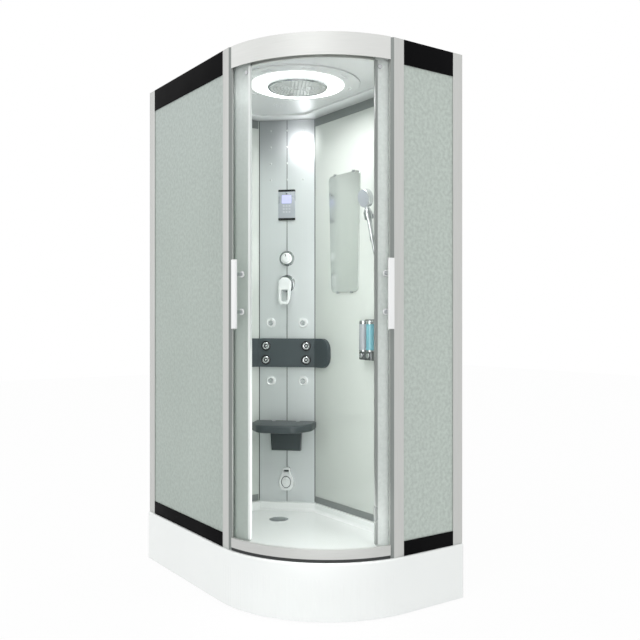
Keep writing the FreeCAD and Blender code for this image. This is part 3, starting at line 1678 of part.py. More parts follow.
def lean(body):
    """Lean a body forward about the holder's cup; its own origin is at the cup's middle."""
    place(body, (S.shower_x, WALL_Y - S.shower_reach, 0))
    body.Placement.Rotation = Rotation(Vector(1, 0, 0), S.shower_lean.value)
    body.setExpression("Placement.Base.z", S.holder_height.text)
    body.setExpression("Placement.Rotation.Angle", S.shower_lean.text)


def make_shower_holder():
    """Wall plate and arm with the leaning cup that holds the hand shower."""
    body = new_body("shower_holder_arm", REAR_WALL)
    x = S.shower_x
    height = S.holder_height
    cylinder(body, "-y", (x, 0, height), S.holder_plate, S.holder_plate_depth)
    fillet(body, 3, lambda edge, middle: close(middle.y, -S.holder_plate_depth))
    cylinder(body, "-y", (x, -1, height), S.holder_arm, S.shower_reach - 1)
    cup = document.addObject("PartDesign::Body", "shower_holder_cup")
    lean(cup)
    cylinder(cup, "z", (0, 0, -S.holder_half), S.holder_cup, S.holder_half * 2)
    bore = document.addObject("PartDesign::Body", "shower_holder_bore")
    lean(bore)
    cylinder(bore, "z", (0, 0, -S.holder_half - 1), S.handle_tube + S.handle_tube_gap, S.holder_half * 2 + 2)
    whole = document.addObject("Part::MultiFuse", "shower_holder_whole")
    whole.Shapes = [body, cup]
    return combine("Cut", "shower_holder", whole, [bore])


def make_hand_shower():
    """Hand shower: tapered handle through the cup, resting on its collar, and a round head."""
    body = document.addObject("PartDesign::Body", "hand_shower")
    lean(body)
    rest = S.holder_half + S.fit_gap
    low = S.shower_low - S.holder_height
    neck = S.shower_neck - S.holder_height
    revolve(body, [
        (0, low),
        (S.shower_tip, low),
        (S.handle_tube, -S.holder_half - 20),
        (S.handle_tube, rest),
        (S.shower_collar, rest),
        (S.shower_collar, rest + S.shower_collar_height),
        (S.handle_tube, rest + S.shower_collar_height + 8),
        (S.handle_tube, neck),
        (0, neck),
    ])
    cylinder(body, "-y", (0, S.head_depth / 2, S.head_height - S.holder_height), S.head_radius, S.head_depth)
    fillet(body, 3, lambda edge, middle: close(abs(middle.y), S.head_depth / 2)
           and len(edge.Vertexes) == 1)
    return body


def make_hose_elbow():
    """Wall elbow that feeds the hose, its outlet pointing down."""
    body = new_body("hose_elbow", REAR_WALL)
    x = S.elbow_x
    height = S.elbow_height
    cylinder(body, "-y", (x, 0, height), S.elbow_plate, S.holder_plate_depth)
    cylinder(body, "-y", (x, -1, height), S.elbow_radius, S.elbow_reach - 1)
    sphere(body, (x, -S.elbow_reach, height), S.elbow_radius)
    cylinder(body, "-z", (x, -S.elbow_reach, height), S.elbow_radius, S.elbow_drop)
    return body


def smooth_run(points):
    """A line of straight runs joined by arcs as large as the runs allow, and the arcs' radii."""
    edges = []
    radii = []
    start = points[0]
    for before, corner, after in zip(points, points[1:], points[2:]):
        inward = (corner - before).normalize()
        outward = (after - corner).normalize()
        half_turn = inward.getAngle(outward) / 2
        cut = 0.45 * min(before.distanceToPoint(corner), after.distanceToPoint(corner))
        radius = cut / math.tan(half_turn)
        first = corner - inward * cut
        last = corner + outward * cut
        bisector = (outward - inward).normalize()
        centre = corner + bisector * (radius / math.cos(half_turn))
        middle = centre - bisector * radius
        edges.append(Part.LineSegment(start, first).toShape())
        edges.append(Part.Arc(first, middle, last).toShape())
        radii.append(radius)
        start = last
    edges.append(Part.LineSegment(start, points[-1]).toShape())
    return Part.Wire(edges), radii


# The hose's route from the hand shower down, round the bottom of its loop and up to the elbow.
# The first points follow the handle, the last ones the elbow, those between share the difference.
HOSE_ROUTE = [
    (105, 334.88, 1433.84),
    (105, 342.1, 1400.9),
    (114, 345, 1358),
    (129, 346.5, 1302),
    (139, 344, 1222),
    (143, 341, 1110),
    (141, 339, 985),
    (137, 338, 865),
    (135, 337, 765),
    (137, 336, 690),
    (137, 335.5, 618.6),
    (158.4, 335, 581.4),
    (195.6, 334.5, 560),
    (238.4, 334.5, 560),
    (275.6, 335, 581.4),
    (297, 336, 618.6),
    (298.5, 337, 697),
    (300.5, 337, 780),
    (301, 336, 870),
    (300, 335, 936),
    (300, 335, 976),
]
LOOP_START = 10
LOOP_END = 15


def hose_points():
    """Corner points of the hose, moved with the handle at one end and with the elbow at the other."""
    along = (S.holder_height - S.shower_low + S.fit_gap).value
    tip = Vector(
        S.shower_x.value,
        (WALL_Y - S.shower_reach).value + along * math.sin(math.radians(S.shower_lean.value)),
        S.holder_height.value - along * math.cos(math.radians(S.shower_lean.value)),
    )
    outlet = Vector(S.elbow_x.value, (WALL_Y - S.elbow_reach).value, (S.elbow_height - S.elbow_drop).value)
    shift_start = tip - Vector(*HOSE_ROUTE[0])
    shift_end = outlet - Vector(*HOSE_ROUTE[-1])
    points = []
    for index, place_on_route in enumerate(HOSE_ROUTE):
        share = min(1, max(0, (index - LOOP_START) / (LOOP_END - LOOP_START)))
        points.append(Vector(*place_on_route) + shift_start * (1 - share) + shift_end * share)
    return points


def make_shower_hose():
    """Hose of the hand shower, hanging in a loop between the handle and the elbow."""
    diameter = S.hose_diameter.value
    points = hose_points()
    path, radii = smooth_run(points)
    section = Part.Wire([Part.Circle(points[0], points[1] - points[0], diameter / 2).toShape()])
    tube = path.makePipeShell([section], True, False)
    hose = document.addObject("Part::Feature", "shower_hose")
    hose.Shape = tube
    hose.Label = "shower_hose"
    expected = math.pi * diameter ** 2 / 4 * path.Length
    print(f"hose length {path.Length:.1f}, volume {tube.Volume:.0f} against {expected:.0f}")
    print("hose radii", " ".join(f"{radius:.0f}" for radius in radii))
    if abs(tube.Volume / expected - 1) > 0.01:
        raise RuntimeError("shower_hose: the tube's volume is off")
    return hose


# ---------------------------------------------------------------- soap dispenser

def make_soap_dispenser():
    """Dispenser: a back plate with a pump block, and two tubes for soap."""
    frame = (S.dispenser_x, WALL_Y, 0)
    plate = new_body("dispenser_plate_body", frame)
    half = S.dispenser_half
    pad(plate, "XZ_Plane", 0, S.dispenser_plate,
        rectangle(-half, half, S.dispenser_low, S.dispenser_high))
    fillet(plate, 6, lambda edge, middle: abs(middle.y + S.dispenser_plate.value / 2) < 0.1
           and len(edge.Vertexes) == 2)
    pad(plate, "XZ_Plane", S.dispenser_plate - 1, S.pump_depth - S.dispenser_plate + 1,
        rectangle(4 - half, half - 4, S.dispenser_low + 4, S.tube_low - 4))
    bore = S.button_radius + S.fit_gap
    for across in (-1, 1):
        cylinder(plate, "y", (across * S.tube_spread, -S.pump_depth - 1, S.button_height), bore,
                 S.pump_depth - S.dispenser_plate + 1, subtract=True)
    members = [plate]
    for name, across in (("left", -1), ("right", 1)):
        tube = new_body(f"{name}_soap_tube", frame)
        cylinder(tube, "z", (across * S.tube_spread, -S.tube_centre, S.tube_low - 4), S.tube_radius,
                 S.dispenser_high - S.tube_low)
        fillet(tube, 4, lambda edge, middle: close(middle.z, S.dispenser_high - 4))
        members.append(tube)
    return group("soap_dispenser", members)


def make_dispenser_button(name, across):
    """Push button of one soap pump, guided in the pump block."""
    body = new_body(f"{name}_dispenser_button", (S.dispenser_x, WALL_Y, 0))
    start = S.dispenser_plate + S.button_travel + S.fit_gap
    cylinder(body, "-y", (across * S.tube_spread, -start, S.button_height), S.button_radius, S.button_length
             + S.pump_depth - S.dispenser_plate - S.button_length)
    fillet(body, 2, lambda edge, middle: middle.y < -S.pump_depth.value)
    return body


# ---------------------------------------------------------------- roof

def make_roof():
    """Roof panel inside the frame: lowered round panel with vents, fan duct and fan bearing."""
    body = new_body("roof")
    gap = S.fit_gap
    front = FRONT_Y + S.panel_depth + gap
    right = SIDE_X - S.panel_depth - gap
    back = WALL_Y + S.wall_thickness
    left = WALL_X - S.wall_thickness
    arc = ARC_Y - front
    pad(body, "XY_Plane", S.ceiling, S.roof_thickness, [
        (ARC_X, front),
        (ARC_X + arc, ARC_Y, ARC_X, ARC_Y, 1),
        (right, ARC_Y + 1),
        (right, PROFILE_REAR - gap),
        (SIDE_X - S.profile_depth - gap, PROFILE_REAR - gap),
        (SIDE_X - S.profile_depth - gap, back),
        (left, back),
        (left, FRONT_Y + S.profile_depth + gap),
        (PROFILE_LEFT + gap, FRONT_Y + S.profile_depth + gap),
        (PROFILE_LEFT + gap, front),
    ])
    cylinder(body, "z", (S.rain_x, S.rain_y, ROOF_UNDER), S.roof_step_radius, S.roof_step + 1)
    fillet(body, S.roof_step * 0.6, lambda edge, middle: close(middle.z, ROOF_UNDER))
    cylinder(body, "z", (S.rain_x, S.rain_y, ROOF_UNDER - 1), S.rain_stem + gap,
             S.roof_step + S.roof_thickness + 2, subtract=True)
    foot_x, foot_y = riser_foot()
    cylinder(body, "z", (foot_x, foot_y, S.ceiling - 1), S.riser_radius + gap, S.roof_thickness + 2,
             subtract=True)
    duct_low = S.ceiling + 1
    cylinder(body, "z", (S.fan_x, S.fan_y, duct_low), S.fan_radius + S.fan_gap + S.fan_wall,
             S.roof_thickness + S.fan_height)
    floor = S.ceiling + S.roof_thickness + S.spoke_height
    cylinder(body, "z", (S.fan_x, S.fan_y, floor), S.fan_radius + S.fan_gap, S.fan_height * 2,
             subtract=True)
    for index in range(12):
        angle = index * 30
        for radius in (20, 34):
            x = S.fan_x + radius * math.cos(math.radians(angle))
            y = S.fan_y + radius * math.sin(math.radians(angle))
            cylinder(body, "z", (x, y, S.ceiling - 1), S.spoke_width / 2, S.roof_thickness * 3, subtract=True)
    cylinder(body, "z", (S.fan_x, S.fan_y, floor - 1), S.fan_pin, S.fan_height - 4)
    slots = []
    for index in range(int(S.vent_count.value)):
        angle = (index + 0.5) * (360 / S.vent_count)
        outward = (cosine(angle), sine(angle))
        slot = []
        for along, across in ((-1, -1), (1, -1), (1, 1), (-1, 1)):
            reach = S.vent_radius + across * S.vent_width / 2
            side = along * S.vent_length / 2
            slot.append((S.rain_x + reach * outward[0] - side * outward[1],
                         S.rain_y + reach * outward[1] + side * outward[0]))
        slots.append(slot)
    pad(body, "XY_Plane", ROOF_UNDER - 1, S.roof_thickness * 3, *slots, subtract=True)
    return body


def make_light_ring():
    """Glowing ring around the rain head, under the round panel."""
    body = new_body("led_ring", (S.rain_x, S.rain_y, 0))
    revolve(body, [
        (S.light_inner, ROOF_UNDER - S.light_depth),
        (S.light_outer - 2, ROOF_UNDER - S.light_depth),
        (S.light_outer, ROOF_UNDER - S.light_depth + 2),
        (S.light_outer, ROOF_UNDER),
        (S.light_inner, ROOF_UNDER),
    ])
    return body


def make_rain_head():
    """Rain shower head with its stem through the roof."""
    body = new_body("rain_head", (S.rain_x, S.rain_y, 0))
    top = stem_top()
    low = ROOF_UNDER - S.rain_depth
    revolve(body, [
        (0, low),
        (S.rain_radius - 3, low),
        (S.rain_radius, low + 3),
        (S.rain_radius, ROOF_UNDER),
        (S.rain_stem, ROOF_UNDER),
        (S.rain_stem, top),
        (0, top),
    ])
    return body


def make_fan_impeller():
    """Impeller of the extraction fan: hub with a bore for the pin and slanting blades."""
    body = new_body("fan_impeller", (S.fan_x, S.fan_y, 0))
    low = S.ceiling + S.roof_thickness + S.spoke_height + 2
    high = low + S.fan_height - 12
    bore = S.fan_pin + S.pin_gap
    revolve(body, [(bore, low), (S.fan_hub, low), (S.fan_hub, high), (bore, high)])
    count = int(S.fan_blades.value)
    for index in range(count):
        angle = index * 360 / count
        inner = S.fan_hub - 1
        outer = S.fan_radius - 2
        points = []
        for radius, slew in ((inner, 0), (outer, 18), (outer, 21), (inner, 8)):
            points.append((radius * cosine(angle + slew), radius * sine(angle + slew)))
        pad(body, "XY_Plane", low, high - low, points)
    return body


# ---------------------------------------------------------------- the whole cabin

def make_cabin():
    """Make every node in order."""
    nodes = [make_tray(), make_tray_frame(), make_feet(), make_drain_trap(), make_drain_cover()]
    nodes += [make_fixed_glass(), make_panel_rails(), make_wall_profiles()]
    nodes.append(group("frame_posts", [make_post("front"), make_post("side")]))
    nodes += [make_top_rail(), make_bottom_rail(), make_rail_gasket()]
    for side in ("left", "right"):
        door = Door(side)
        nodes += [door.make_glass(), door.make_seal(), door.make_handle(), door.make_fittings()]
        nodes += [door.make_roller("front"), door.make_roller("rear")]
    nodes += [*make_rear_walls(), make_wall_trims(), make_column_panels(), make_column_nozzles()]
    nodes += [make_control_panel(), make_control_display(), make_valve_plates(), make_mixing_valve()]
    nodes += [make_riser_pipe(), make_selector_knob(), make_mixer_spindle(), make_mixer_lever()]
    nodes.append(make_jet_housings())
    for number, (across, height) in enumerate(jet_places(), start=1):
        nodes.append(make_body_jet(number, across, height))
    nodes += [make_massage_pad(), make_pad_jets(), make_seat_bracket(), make_seat()]
    nodes += [make_steam_outlet(), make_steam_generator(), make_mirror(), make_shower_holder()]
    nodes += [make_hand_shower(), make_shower_hose(), make_hose_elbow(), make_soap_dispenser()]
    nodes += [make_dispenser_button("left", -1), make_dispenser_button("right", 1)]
    nodes += [make_roof(), make_light_ring(), make_rain_head(), make_fan_impeller()]
    return nodes


def check_and_write(nodes):
    """Check every object of the document and every node's shape, then write the nodes."""
    document.recompute()
    for thing in document.Objects:
        if "Invalid" in thing.State or "Error" in thing.State:
            raise RuntimeError(f"{thing.Label} failed: {thing.State}")
    for node in nodes:
        if node.Shape.isNull() or not node.Shape.isValid():
            raise RuntimeError(f"{node.Label}: bad shape")
    os.makedirs("parts", exist_ok=True)
    for node in nodes:
        node.Shape.exportStep(f"parts/{node.Label}.step")
    print(len(nodes), "nodes written")


check_and_write(make_cabin())
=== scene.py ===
"""Corner steam shower cabin: finishes, fine visible pieces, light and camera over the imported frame."""
import logging
import math
from collections.abc import Callable, Iterable, Sequence
from dataclasses import dataclass, replace
from enum import Enum

import bmesh
import bpy
from mathutils import Matrix, Vector


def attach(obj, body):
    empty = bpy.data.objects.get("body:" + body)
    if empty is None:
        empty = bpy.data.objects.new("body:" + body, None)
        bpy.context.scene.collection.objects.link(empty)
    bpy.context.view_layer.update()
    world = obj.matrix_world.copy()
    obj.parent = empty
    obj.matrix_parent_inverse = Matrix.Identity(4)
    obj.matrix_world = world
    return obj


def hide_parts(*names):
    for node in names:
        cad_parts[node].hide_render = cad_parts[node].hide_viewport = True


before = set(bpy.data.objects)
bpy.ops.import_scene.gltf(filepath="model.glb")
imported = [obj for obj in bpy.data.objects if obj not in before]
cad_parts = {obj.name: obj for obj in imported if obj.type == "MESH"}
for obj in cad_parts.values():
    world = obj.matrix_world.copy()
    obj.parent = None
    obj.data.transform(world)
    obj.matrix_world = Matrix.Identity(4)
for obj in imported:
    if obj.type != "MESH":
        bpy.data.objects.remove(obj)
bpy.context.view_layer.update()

LOG = logging.getLogger("cabin")

Colour = tuple[float, float, float]
Outline = Sequence[tuple[float, float]]

UP = Vector((0.0, 0.0, 1.0))
HALF_ROOT = math.sqrt(0.5)
ARC_CENTRE = Vector((0.1, 0.1, 0.0))
COLUMN_FOOT = Vector((-0.487, 0.277, 0.0))
COLUMN_ALONG = Vector((HALF_ROOT, HALF_ROOT, 0.0))
COLUMN_OUT = Vector((HALF_ROOT, -HALF_ROOT, 0.0))
REAR_WALL_Y = 0.377
SMOOTH_BELOW = math.radians(30)
FLAT_BELOW = math.radians(0.6)
MERGE_PACKED = 1e-5
MERGE_SPUN = 1e-6
EDGE_STEPS = 3
CORNER_STEPS = 5


class Body(Enum):
    """The moving bodies that pieces ride on."""

    CABIN = "cabin"
    LEFT_DOOR = "left_door"
    RIGHT_DOOR = "right_door"
    SELECTOR = "selector"
    LEVER = "lever"
    SEAT = "folding_seat"
    HANDSET = "handset"
    JET_1 = "jet_1"
    JET_2 = "jet_2"
    JET_3 = "jet_3"
    JET_4 = "jet_4"


# ---------------------------------------------------------------- places

def facing(origin: Vector, out: Vector) -> Matrix:
    """Make a frame that looks out of a wall.

    Args:
        origin: the frame's origin in metres.
        out: unit vector out of the wall, which becomes the frame's Z axis.

    Returns:
        A matrix whose X axis runs to the right and whose Y axis points up.
    """
    turned = Matrix((UP.cross(out), UP, out)).transposed().to_4x4()
    turned.translation = origin
    return turned


def on_column(along: float, height: float, reach: float = 0.0) -> Matrix:
    """Frame on the column's face, this far along it, up it and out of it."""
    return facing(COLUMN_FOOT + COLUMN_ALONG * along + COLUMN_OUT * reach + UP * height, COLUMN_OUT)


def on_rear_wall(x: float, height: float, reach: float = 0.0) -> Matrix:
    """Frame on the long rear wall."""
    return facing(Vector((x, REAR_WALL_Y - reach, height)), Vector((0.0, -1.0, 0.0)))


def on_door(angle: float, radius: float, height: float) -> Matrix:
    """Frame on a circle about the arc centre, looking outwards."""
    turned = math.radians(angle)
    out = Vector((math.cos(turned), math.sin(turned), 0.0))
    return facing(ARC_CENTRE + out * radius + UP * height, out)


def upright(x: float, y: float, height: float) -> Matrix:
    """Frame with the cabin's own axes at a point."""
    return Matrix.Translation((x, y, height))


def around(place: Matrix, radius: float, count: int, height: float = 0.0, phase: float = 0.0) -> list[Matrix]:
    """Frames spread evenly on a circle about a place's Z axis.

    Args:
        place: frame of the circle's axis.
        radius: the circle's radius in metres.
        count: number of frames.
        height: how far along the axis they lie.
        phase: share of one step by which the first is turned.

    Returns:
        The frames in order.
    """
    angles = [math.tau * (turn + phase) / count for turn in range(count)]
    return [place @ Matrix.Translation((radius * math.cos(angle), radius * math.sin(angle), height))
            for angle in angles]


def rectangle(half_width: float, half_height: float) -> Outline:
    """Corners of a rectangle about the origin."""
    return ((-half_width, -half_height), (half_width, -half_height), (half_width, half_height),
            (-half_width, half_height))


# ---------------------------------------------------------------- shader groups

Tree = bpy.types.ShaderNodeTree
Node = bpy.types.Node
Feed = bpy.types.NodeSocket | float | tuple


def feed(tree: Tree, source: Feed, target: bpy.types.NodeSocket) -> None:
    """Link a socket to an input, or give the input a plain value."""
    if isinstance(source, bpy.types.NodeSocket):
        tree.links.new(source, target)
    else:
        target.default_value = source


def add(tree: Tree, kind: str, feeds: dict[str | int, Feed], **settings: str | bool) -> Node:
    """Add a node to a shader tree.

    Args:
        tree: the tree.
        kind: the node's type without its prefix.
        feeds: socket or plain value for each input, by name or number.
        settings: the node's own settings.

    Returns:
        The new node.
    """
    node = tree.nodes.new(f"ShaderNode{kind}")
    for setting, value in settings.items():
        setattr(node, setting, value)
    for label, source in feeds.items():
        feed(tree, source, node.inputs[label])
    return node


def new_group(name: str, inputs: Iterable[tuple[str, str, float | tuple]], outputs: Iterable[tuple[str, str]]) -> Tree:
    """Start a shader node group.

    Args:
        name: the group's name.
        inputs: name, socket type and default value of each input.
        outputs: name and socket type of each output.

    Returns:
        The group's tree with its input and output nodes in place.
    """
    tree = bpy.data.node_groups.new(name, "ShaderNodeTree")
    for label, kind, value in inputs:
        socket = tree.interface.new_socket(name=label, in_out="INPUT", socket_type=kind)
        if value is not None:
            socket.default_value = value
    for label, kind in outputs:
        tree.interface.new_socket(name=label, in_out="OUTPUT", socket_type=kind)
    tree.nodes.new("NodeGroupInput").name = "in"
    tree.nodes.new("NodeGroupOutput").name = "out"
    return tree


def stretched(tree: Tree, vector: bpy.types.NodeSocket, stretch: Feed) -> bpy.types.NodeSocket:
    """Multiply a vector by another, axis by axis."""
    return add(tree, "VectorMath", {0: vector, 1: stretch}, operation="MULTIPLY").outputs[0]


VECTOR = "NodeSocketVector"
FLOAT = "NodeSocketFloat"
COLOUR = "NodeSocketColor"
MASK = (("Mask", FLOAT),)
FLATTENED = (1, 1, 0)
DOT_RIM = 0.08


def make_drift_group() -> Tree:
    """Group that wanders between two colours, and between two gloss values, over the surface."""
    tree = new_group(
        "surface_drift",
        [("Vector", VECTOR, None), ("Stretch", VECTOR, (1, 1, 1)), ("Scale", FLOAT, 3.0),
         ("First", COLOUR, (1, 1, 1, 1)), ("Second", COLOUR, (1, 1, 1, 1)),
         ("Low", FLOAT, 0.3), ("High", FLOAT, 0.4)],
        [("Color", COLOUR), ("Roughness", FLOAT)],
    )
    given, out = tree.nodes["in"].outputs, tree.nodes["out"].inputs
    noise = add(tree, "TexNoise", {"Vector": stretched(tree, given["Vector"], given["Stretch"]),
                                   "Scale": given["Scale"], "Detail": 4.0}).outputs["Fac"]
    mix = add(tree, "Mix", {0: noise, 6: given["First"], 7: given["Second"]}, data_type="RGBA")
    gloss = add(tree, "MapRange", {"Value": noise, "From Min": 0.3, "From Max": 0.7, "To Min": given["Low"],
                                   "To Max": given["High"]})
    feed(tree, mix.outputs[2], out["Color"])
    feed(tree, gloss.outputs[0], out["Roughness"])
    return tree


def make_grain_group() -> Tree:
    """Group that gives the height of a fine grain, stretched for brushed metal."""
    tree = new_group(
        "surface_grain",
        [("Vector", VECTOR, None), ("Stretch", VECTOR, (1, 1, 1)), ("Scale", FLOAT, 400.0)],
        [("Height", FLOAT)],
    )
    given = tree.nodes["in"].outputs
    noise = add(tree, "TexNoise", {"Vector": stretched(tree, given["Vector"], given["Stretch"]),
                                   "Scale": given["Scale"], "Detail": 2.0})
    feed(tree, noise.outputs["Fac"], tree.nodes["out"].inputs["Height"])
    return tree


def make_fade_group() -> Tree:
    """Group that fades from 0 to 1 between two heights."""
    tree = new_group("height_fade", [("Vector", VECTOR, None), ("Low", FLOAT, 0.0), ("High", FLOAT, 1.0)], MASK)
    given = tree.nodes["in"].outputs
    height = add(tree, "SeparateXYZ", {0: given["Vector"]}).outputs["Z"]
    span = add(tree, "MapRange", {"Value": height, "From Min": given["Low"], "From Max": given["High"]},
               interpolation_type="SMOOTHSTEP")
    feed(tree, span.outputs[0], tree.nodes["out"].inputs["Mask"])
    return tree


def make_dots_group() -> Tree:
    """Group that marks small round dots in a square pattern seen from above."""
    tree = new_group("round_dots", [("Vector", VECTOR, None), ("Pitch", FLOAT, 0.012), ("Size", FLOAT, 0.3)], MASK)
    given = tree.nodes["in"].outputs
    ratio = add(tree, "Math", {0: 1.0, 1: given["Pitch"]}, operation="DIVIDE")
    cells = add(tree, "TexVoronoi", {"Vector": stretched(tree, given["Vector"], FLATTENED),
                                     "Scale": ratio.outputs[0], "Randomness": 0.0}, voronoi_dimensions="2D")
    rim = add(tree, "Math", {0: given["Size"], 1: DOT_RIM}, operation="ADD")
    edge = add(tree, "MapRange", {"Value": cells.outputs["Distance"], "From Min": given["Size"],
                                  "From Max": rim.outputs[0], "To Min": 1.0, "To Max": 0.0})
    feed(tree, edge.outputs[0], tree.nodes["out"].inputs["Mask"])
    return tree


def make_ring_group() -> Tree:
    """Group that marks what lies within a distance of an upright axis."""
    tree = new_group("within_radius", [("Vector", VECTOR, None), ("Centre", VECTOR, (0, 0, 0)),
                                       ("Radius", FLOAT, 0.5)], MASK)
    given = tree.nodes["in"].outputs
    shift = add(tree, "VectorMath", {0: given["Vector"], 1: given["Centre"]}, operation="SUBTRACT")
    length = add(tree, "VectorMath", {0: stretched(tree, shift.outputs[0], FLATTENED)}, operation="LENGTH")
    inside = add(tree, "Math", {0: length.outputs["Value"], 1: given["Radius"]}, operation="LESS_THAN")
    feed(tree, inside.outputs[0], tree.nodes["out"].inputs["Mask"])
    return tree


GROUPS: dict[str, Tree] = {
    "drift": make_drift_group(),
    "grain": make_grain_group(),
    "fade": make_fade_group(),
    "dots": make_dots_group(),
    "ring": make_ring_group(),
}


# ---------------------------------------------------------------- finishes

def linear(colour: Colour) -> tuple[float, float, float, float]:
    """Turn display values from 0 to 1 into the shader's linear colour."""
    return tuple(c / 12.92 if c <= 0.04045 else ((c + 0.055) / 1.055) ** 2.4 for c in colour) + (1.0,)


COAT_ROUGHNESS = 0.08


@dataclass(frozen=True)
class Finish:
    """One surface finish: its colours, and how tone, gloss and grain vary over it."""

    name: str
    first: Colour
    second: Colour
    gloss: tuple[float, float] = (0.25, 0.4)
    metal: float = 0.0
    tone_scale: float = 4.0
    stretch: tuple[float, float, float] = (1.0, 1.0, 1.0)
    grain_scale: float = 350.0
    grain: float = 0.05
    coat: float = 0.0
    clear: float = 0.0
    refraction: float = 1.45
    glow: float = 0.0

    def material(self) -> bpy.types.Material:
        """Build the material, or give the one that is already built."""
        title = f"{self.name}_finish"
        known = bpy.data.materials.get(title)
        if known:
            return known
        made = bpy.data.materials.new(title)
        made.use_nodes = True
        tree = made.node_tree
        shader = tree.nodes["Principled BSDF"]
        place = tree.nodes.new("ShaderNodeTexCoord")
        drift = self.group(tree, "drift", place, Stretch=self.stretch, Scale=self.tone_scale,
                           First=linear(self.first), Second=linear(self.second), Low=self.gloss[0],
                           High=self.gloss[1])
        for label, source in (("Base Color", drift.outputs["Color"]), ("Roughness", drift.outputs["Roughness"]),
                              ("Metallic", self.metal), ("Coat Weight", self.coat),
                              ("Coat Roughness", COAT_ROUGHNESS), ("Transmission Weight", self.clear),
                              ("IOR", self.refraction)):
            feed(tree, source, shader.inputs[label])
        if self.glow:
            feed(tree, drift.outputs["Color"], shader.inputs["Emission Color"])
            feed(tree, self.glow, shader.inputs["Emission Strength"])
        if self.grain:
            grain = self.group(tree, "grain", place, Stretch=self.stretch, Scale=self.grain_scale)
            self.raise_relief(tree, shader, grain.outputs["Height"], self.grain, 0.001)
        self.refine(tree, shader, place, drift)
        return made

    @staticmethod
    def group(tree: Tree, name: str, place: Node, **values: float | tuple) -> Node:
        """Place a shared group on object coordinates and set its inputs."""
        node = tree.nodes.new("ShaderNodeGroup")
        node.node_tree = GROUPS[name]
        tree.links.new(place.outputs["Object"], node.inputs["Vector"])
        for label, value in values.items():
            node.inputs[label].default_value = value
        return node

    @staticmethod
    def raise_relief(tree: Tree, shader: Node, height: bpy.types.NodeSocket, strength: float,
                     distance: float) -> None:
        """Raise the surface by a height, on top of the relief that it has already.

        Args:
            tree: the material's tree.
            shader: its shader.
            height: height from 0 to 1.
            strength: share of the relief that shows.
            distance: the full height in metres.
        """
        bump = add(tree, "Bump", {"Strength": strength, "Distance": distance, "Height": height})
        earlier = shader.inputs["Normal"].links
        if earlier:
            feed(tree, earlier[0].from_socket, bump.inputs["Normal"])
        feed(tree, bump.outputs["Normal"], shader.inputs["Normal"])

    def refine(self, tree: Tree, shader: Node, place: Node, drift: Node) -> None:
        """Add what one kind of finish has beyond the others; plain finishes add nothing."""

    @staticmethod
    def blend(tree: Tree, mask: bpy.types.NodeSocket, low: bpy.types.NodeSocket, high: Colour) -> bpy.types.NodeSocket:
        """Mix a further colour into one by a mask.

        Args:
            tree: the material's tree.
            mask: 0 keeps the colour and 1 takes the further one.
            low: the colour so far.
            high: the further colour as display values.

        Returns:
            The mixed colour's socket.
        """
        return add(tree, "Mix", {0: mask, 6: low, 7: linear(high)}, data_type="RGBA").outputs[2]


@dataclass(frozen=True)
class HeightShadedFinish(Finish):
    """A finish with painted light or shade: it takes on a lighter or darker colour towards a height, where the light
    falls differently.
    """

    # painted light or shade: the colour that the finish takes on towards the top
    shading_at_top: Colour = (1.0, 1.0, 1.0)
    shading_from: float = 1.5
    shading_to: float = 2.1

    def refine(self, tree: Tree, shader: Node, place: Node, drift: Node) -> None:
        """Paint the light or shade in, fading it between the two heights."""
        fade = self.group(tree, "fade", place, Low=self.shading_from, High=self.shading_to)
        colour = self.blend(tree, fade.outputs["Mask"], drift.outputs["Color"], self.shading_at_top)
        tree.links.new(colour, shader.inputs["Base Color"])


@dataclass(frozen=True)
class FrostFinish(HeightShadedFinish):
    """Frosted glass with a cloudy mottle of small pits, and painted light that makes it lighter to the right and
    towards the top.
    """

    pit_scale: float = 75.0
    pit_depth: float = 0.45
    pit_shade: Colour = (0.62, 0.66, 0.632)
    pit_share: float = 0.55
    # painted light: the lighter colour that the glass takes on towards the right
    side: Colour = (0.84, 0.88, 0.853)
    lit_side_from: float = 0.2
    lit_side_to: float = 0.5
    lit_side_share: float = 1.0

    def refine(self, tree: Tree, shader: Node, place: Node, drift: Node) -> None:
        """Paint light in, lighter to the right and upwards, and break the colour up by the pits."""
        super().refine(tree, shader, place, drift)
        colour = shader.inputs["Base Color"]
        # painted light: a mask by the X coordinate that lightens the glass towards the right
        parts = add(tree, "SeparateXYZ", {0: place.outputs["Object"]})
        across = add(tree, "MapRange", {"Value": parts.outputs["X"], "From Min": self.lit_side_from,
                                        "From Max": self.lit_side_to, "To Max": self.lit_side_share})
        feed(tree, self.blend(tree, across.outputs[0], colour.links[0].from_socket, self.side), colour)
        pits = self.group(tree, "grain", place, Scale=self.pit_scale).outputs["Height"]
        span = add(tree, "MapRange", {"Value": pits, "From Min": 0.35, "From Max": 0.65, "To Max": self.pit_share})
        feed(tree, self.blend(tree, span.outputs[0], colour.links[0].from_socket, self.pit_shade), colour)
        self.raise_relief(tree, shader, pits, self.pit_depth, 0.0008)


@dataclass(frozen=True)
class TreadFinish(Finish):
    """Sanitary acrylic with a field of small raised dots on the standing floor."""

    pitch: float = 0.011
    floor_height: float = 0.153
    dot_size: float = 0.26

    def refine(self, tree: Tree, shader: Node, place: Node, drift: Node) -> None:
        """Raise the dots below the floor's height only."""
        dots = self.group(tree, "dots", place, Pitch=self.pitch, Size=self.dot_size)
        fade = self.group(tree, "fade", place, Low=self.floor_height, High=self.floor_height + 0.001)
        keep = add(tree, "Math", {0: dots.outputs["Mask"], 1: fade.outputs["Mask"]}, operation="SUBTRACT",
                   use_clamp=True)
        self.raise_relief(tree, shader, keep.outputs[0], 0.5, 0.0006)


